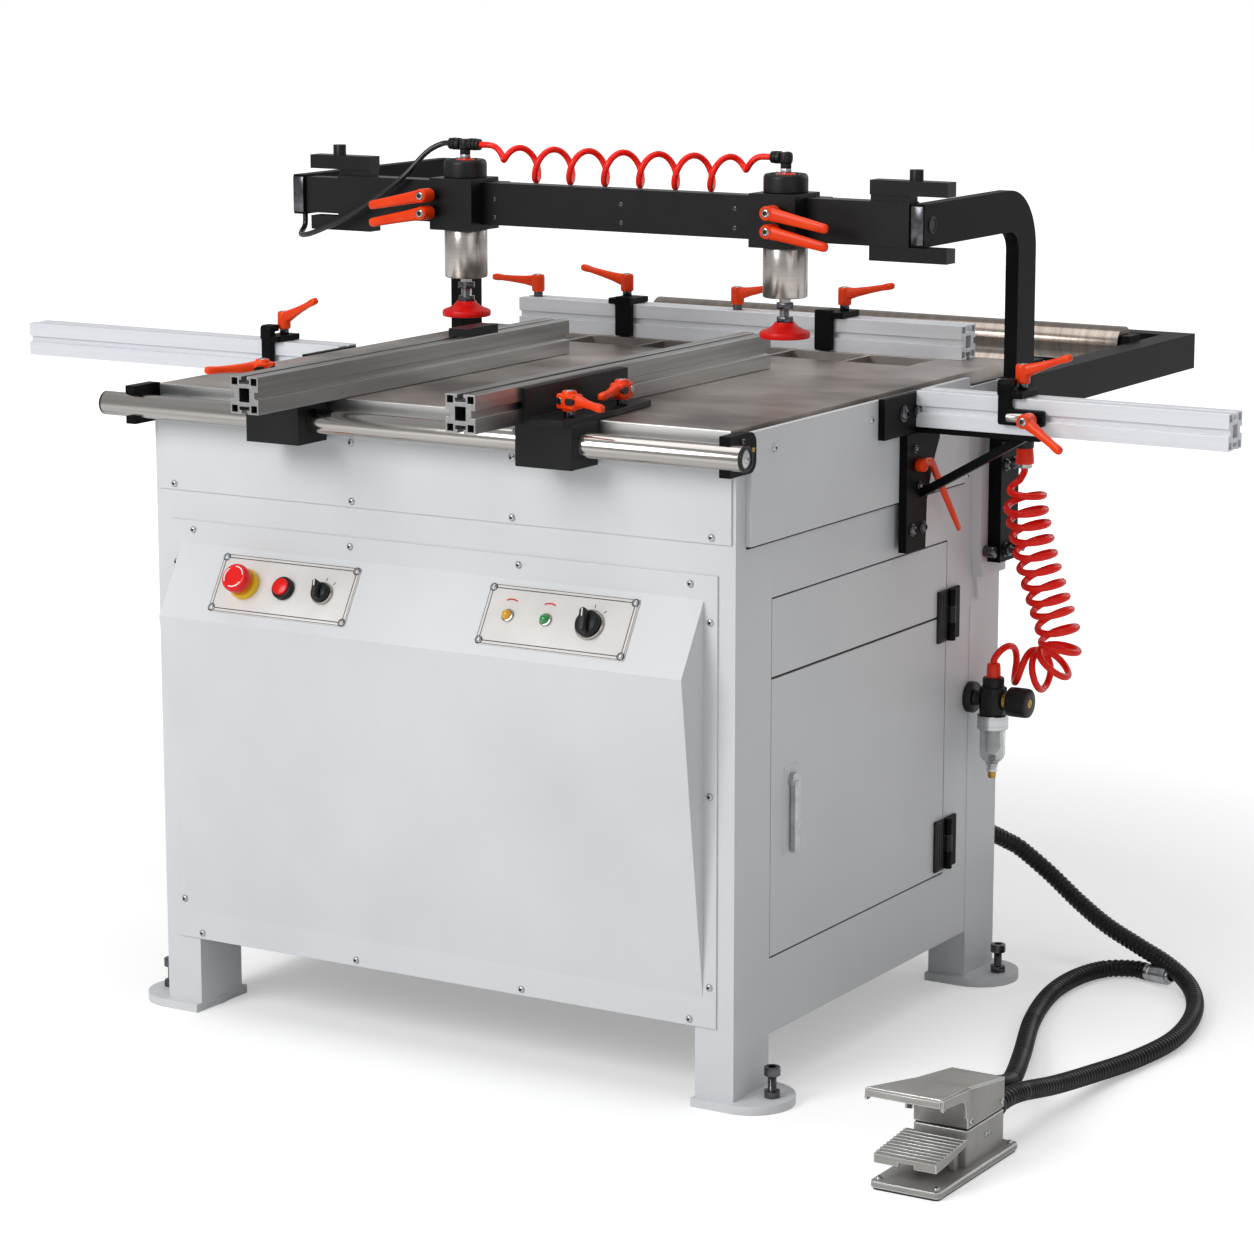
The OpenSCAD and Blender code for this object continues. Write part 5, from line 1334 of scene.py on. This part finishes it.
def pedal_housing():
    """Base on its sole, box with a rubber joint, sloping roof and hood, and the hoses' glands."""
    piece = Piece("pedal_housing")
    middle = pedal_at(0, 114, 0)
    box = pedal_at(0, (BOX_FRONT + BOX_BACK) / 2, 0)
    piece.prism(rounded(92, 224, 7), 0, 2.6, middle, sole_rubber, edge=0.5)
    # Rounded edges in the paler edge finish: partly rubbed bare, partly a painted highlight
    piece.prism(rounded(96, 228, 7), 2.4, 12, middle, pedal_enamel, edge=2.2, edge_finish=pedal_edge_wear_and_highlight)
    for x in (-40, 40):
        for y in (11, 217):
            button_screw(piece, pedal_at(x, y, 12), 4.4, 3.4)
    piece.prism(rounded(76, 106, 4), 11.6, 61, box, pedal_enamel, edge=1.7, edge_finish=pedal_edge_wear_and_highlight)
    piece.prism(rounded(72.6, 102.6, 3), 60, 64, box, sole_rubber)
    upper = [(BOX_FRONT, 63), (BOX_BACK, 63), (BOX_BACK, 101), (BOX_FRONT, 116)]
    piece.prism(upper, -BOX_HALF, BOX_HALF, across(pedal_at(0, 0, 0)), pedal_enamel, edge=1.7,
                edge_finish=pedal_edge_wear_and_highlight)
    roof = [(-BOX_HALF, -105.4), (BOX_HALF, -105.4), (BOX_HALF, 0), (-BOX_HALF, 0)]
    piece.prism(roof, 0, 4, hood_frame(), pedal_enamel, edge=1.5, edge_finish=pedal_edge_wear_and_highlight)
    hood = [(-BOX_HALF, -106), (-51, -209), (-50, -210), (50, -210), (51, -209), (BOX_HALF, -106)]
    piece.prism(hood, 0, 4, hood_frame(), pedal_enamel, edge=1.7, edge_finish=pedal_edge_wear_and_highlight)
    piece.block((-50.2, -209.8, -8), (50.2, -206.4, 1), pedal_enamel, 1.2, hood_frame(), pedal_edge_wear_and_highlight)
    for side in (-1, 1):
        pedal_cheek(piece, side)
        for y, z, r in ((107, 72, 4.6), (196, 72, 4.0), (159, 42, 3.2), (151, 42, 3.2)):
            button_screw(piece, outward(side)(PEDAL_X + side * BOX_HALF, PEDAL_Y + y, z), r, 2.6)
        piece.prism(rounded(12, 34, 3), -4, 4, across(pedal_at(side * 25, TREAD_Y, 29)),
                    pedal_enamel, edge=0.6)
    for x, z in ((21, 60), (-21, 66)):
        gland = pedal_at(x, BOX_BACK, z) @ spun(-90, "X")
        piece.prism(hexagon(17.2), -0.4, 5, gland, black_nylon, edge=1.0)
        piece.lathe([(9.4, 4.6), (15.6, 4.6), (16, 5.4), (15.4, 10), (14, 12), (9.4, 12)], gland,
                    black_nylon, 36)
    piece.done("machine", "pedal_alloy", "pedal_body")


def pedal_tread():
    """Ribbed treadle with side skirts, its front lip notched in the middle."""
    place = pedal_at(0, TREAD_Y, TREAD_Z) @ spun(TREAD_SLOPE, "X")
    piece = Piece("pedal_tread")
    piece.lathe([(0, -34), (2.9, -34), (2.9, 34), (0, 34)], place @ spun(90, "Y"), chromed_bar, 24)
    # Rounded edges in the paler edge finish: partly rubbed bare, partly a painted highlight
    piece.block((-43, -84, 6), (43, 5, 12.6), pedal_enamel, 1.0, place, pedal_edge_wear_and_highlight)
    for low, high in ((-43, -9), (12, 43)):
        piece.block((low, -84, 0), (high, -80, 8), pedal_enamel, 1.0, place, pedal_edge_wear_and_highlight)
    for side in (-1, 1):
        skirt = across(place @ moved(side * 41.4, 0, 0))
        piece.prism([(-83, 0), (-83, 8), (4, 8), (4, 5), (-52, 0)], -1.5, 1.5, skirt, pedal_enamel,
                    edge=0.5, edge_finish=pedal_edge_wear_and_highlight)
    for k in range(9):
        y = -78.5 + 9 * k
        rib = [(y, 12), (y + 0.4, 14.6), (y + 4, 14.6), (y + 4.4, 12)]
        piece.prism(rib, -42.4, 42.4, across(place), pedal_enamel, edge=1.1, edge_finish=pedal_edge_wear_and_highlight)
    piece.block((-6, -5, -2), (6, 5, 7), pedal_enamel, 1.0, place)
    piece.done("pedal_treadle", "pedal_alloy", "pedal_treadle")


pedal_housing()
pedal_tread()


# Floor, backdrop and studio light

def sight(tree, lit, mirrored, seen):
    """A level by the ray's kind: for light that falls, for reflections, and for the eye."""
    rays = add(tree, "ShaderNodeLightPath").outputs
    clear = add(tree, "ShaderNodeMath", {"operation": "MAXIMUM"},
                links={0: rays["Is Camera Ray"], 1: rays["Is Transmission Ray"]})
    level = add(tree, "ShaderNodeMapRange", inputs={"To Min": lit, "To Max": mirrored},
                links={"Value": rays["Is Glossy Ray"]})
    level = add(tree, "ShaderNodeMapRange", inputs={"To Max": seen},
                links={"Value": clear.outputs[0], "To Min": level.outputs["Result"]})
    return level.outputs["Result"]


PAPER_HALF = 16.0


def lay_paper():
    """White paper that glows a little more away from the machine."""
    floor_mesh = bpy.data.meshes.new("floor")
    half = PAPER_HALF
    floor_mesh.from_pydata([(-half, -half, 0), (half, -half, 0), (half, half, 0), (-half, half, 0)],
                           [], [(0, 1, 2, 3)])
    floor = bpy.data.objects.new("floor", floor_mesh)
    bpy.context.scene.collection.objects.link(floor)
    material, tree, shader = surface("studio_paper_white", Roughness=0.9)
    shader.inputs["Base Color"].default_value = linear("#f1f1f1")
    shader.inputs["Specular IOR Level"].default_value = 0.0
    # The paper looks white to the eye, and half as bright in reflections
    seen = sight(tree, 0.0, 0.5, 1.0)
    place = add(tree, "ShaderNodeTexCoord")
    far = add(tree, "ShaderNodeVectorMath", {"operation": "LENGTH"},
              links={0: place.outputs["Object"]})
    glow = add(tree, "ShaderNodeMapRange",
               inputs={"From Min": 0.9, "From Max": 3.2, "To Min": 0.34, "To Max": 0.95},
               links={"Value": far.outputs["Value"]})
    share = add(tree, "ShaderNodeMath", {"operation": "MULTIPLY"},
                links={0: glow.outputs["Result"], 1: seen})
    shader.inputs["Emission Color"].default_value = (1, 1, 1, 1)
    tree.links.new(share.outputs[0], shader.inputs["Emission Strength"])
    floor_mesh.materials.append(material)


def set_light():
    """A white sky, and four round lamps that aim at the machine; places in metres."""
    world = bpy.data.worlds.new("studio")
    bpy.context.scene.world = world
    world.use_nodes = True
    sky = world.node_tree
    background = sky.nodes["Background"]
    background.inputs["Color"].default_value = (1, 1, 1, 1)
    sky.links.new(sight(sky, 0.27, 0.5, 1.0), background.inputs["Strength"])
    for name, place, aim, size, power in (
            ("key", (-1.1, -4.5, 3.1), (0.1, -0.3, 0.6), 2.6, 126),
            ("fill", (3.6, -2.6, 2.0), (0.2, -0.1, 0.6), 2.6, 10),
            ("top", (0.0, -0.4, 4.4), (0, -0.2, 0.8), 3.4, 54),
            ("rim", (1.6, 3.6, 2.6), (0.1, 0.2, 0.7), 2.4, 26)):
        data = bpy.data.lights.new(name, "AREA")
        data.shape = "DISK"
        data.size = size
        data.energy = power
        lamp = bpy.data.objects.new(name, data)
        lamp.location = place
        lamp.rotation_mode = "QUATERNION"
        lamp.rotation_quaternion = (Vector(aim) - Vector(place)).to_track_quat("-Z", "Y")
        bpy.context.scene.collection.objects.link(lamp)
    bpy.context.scene.view_settings.view_transform = "Standard"


lay_paper()
set_light()
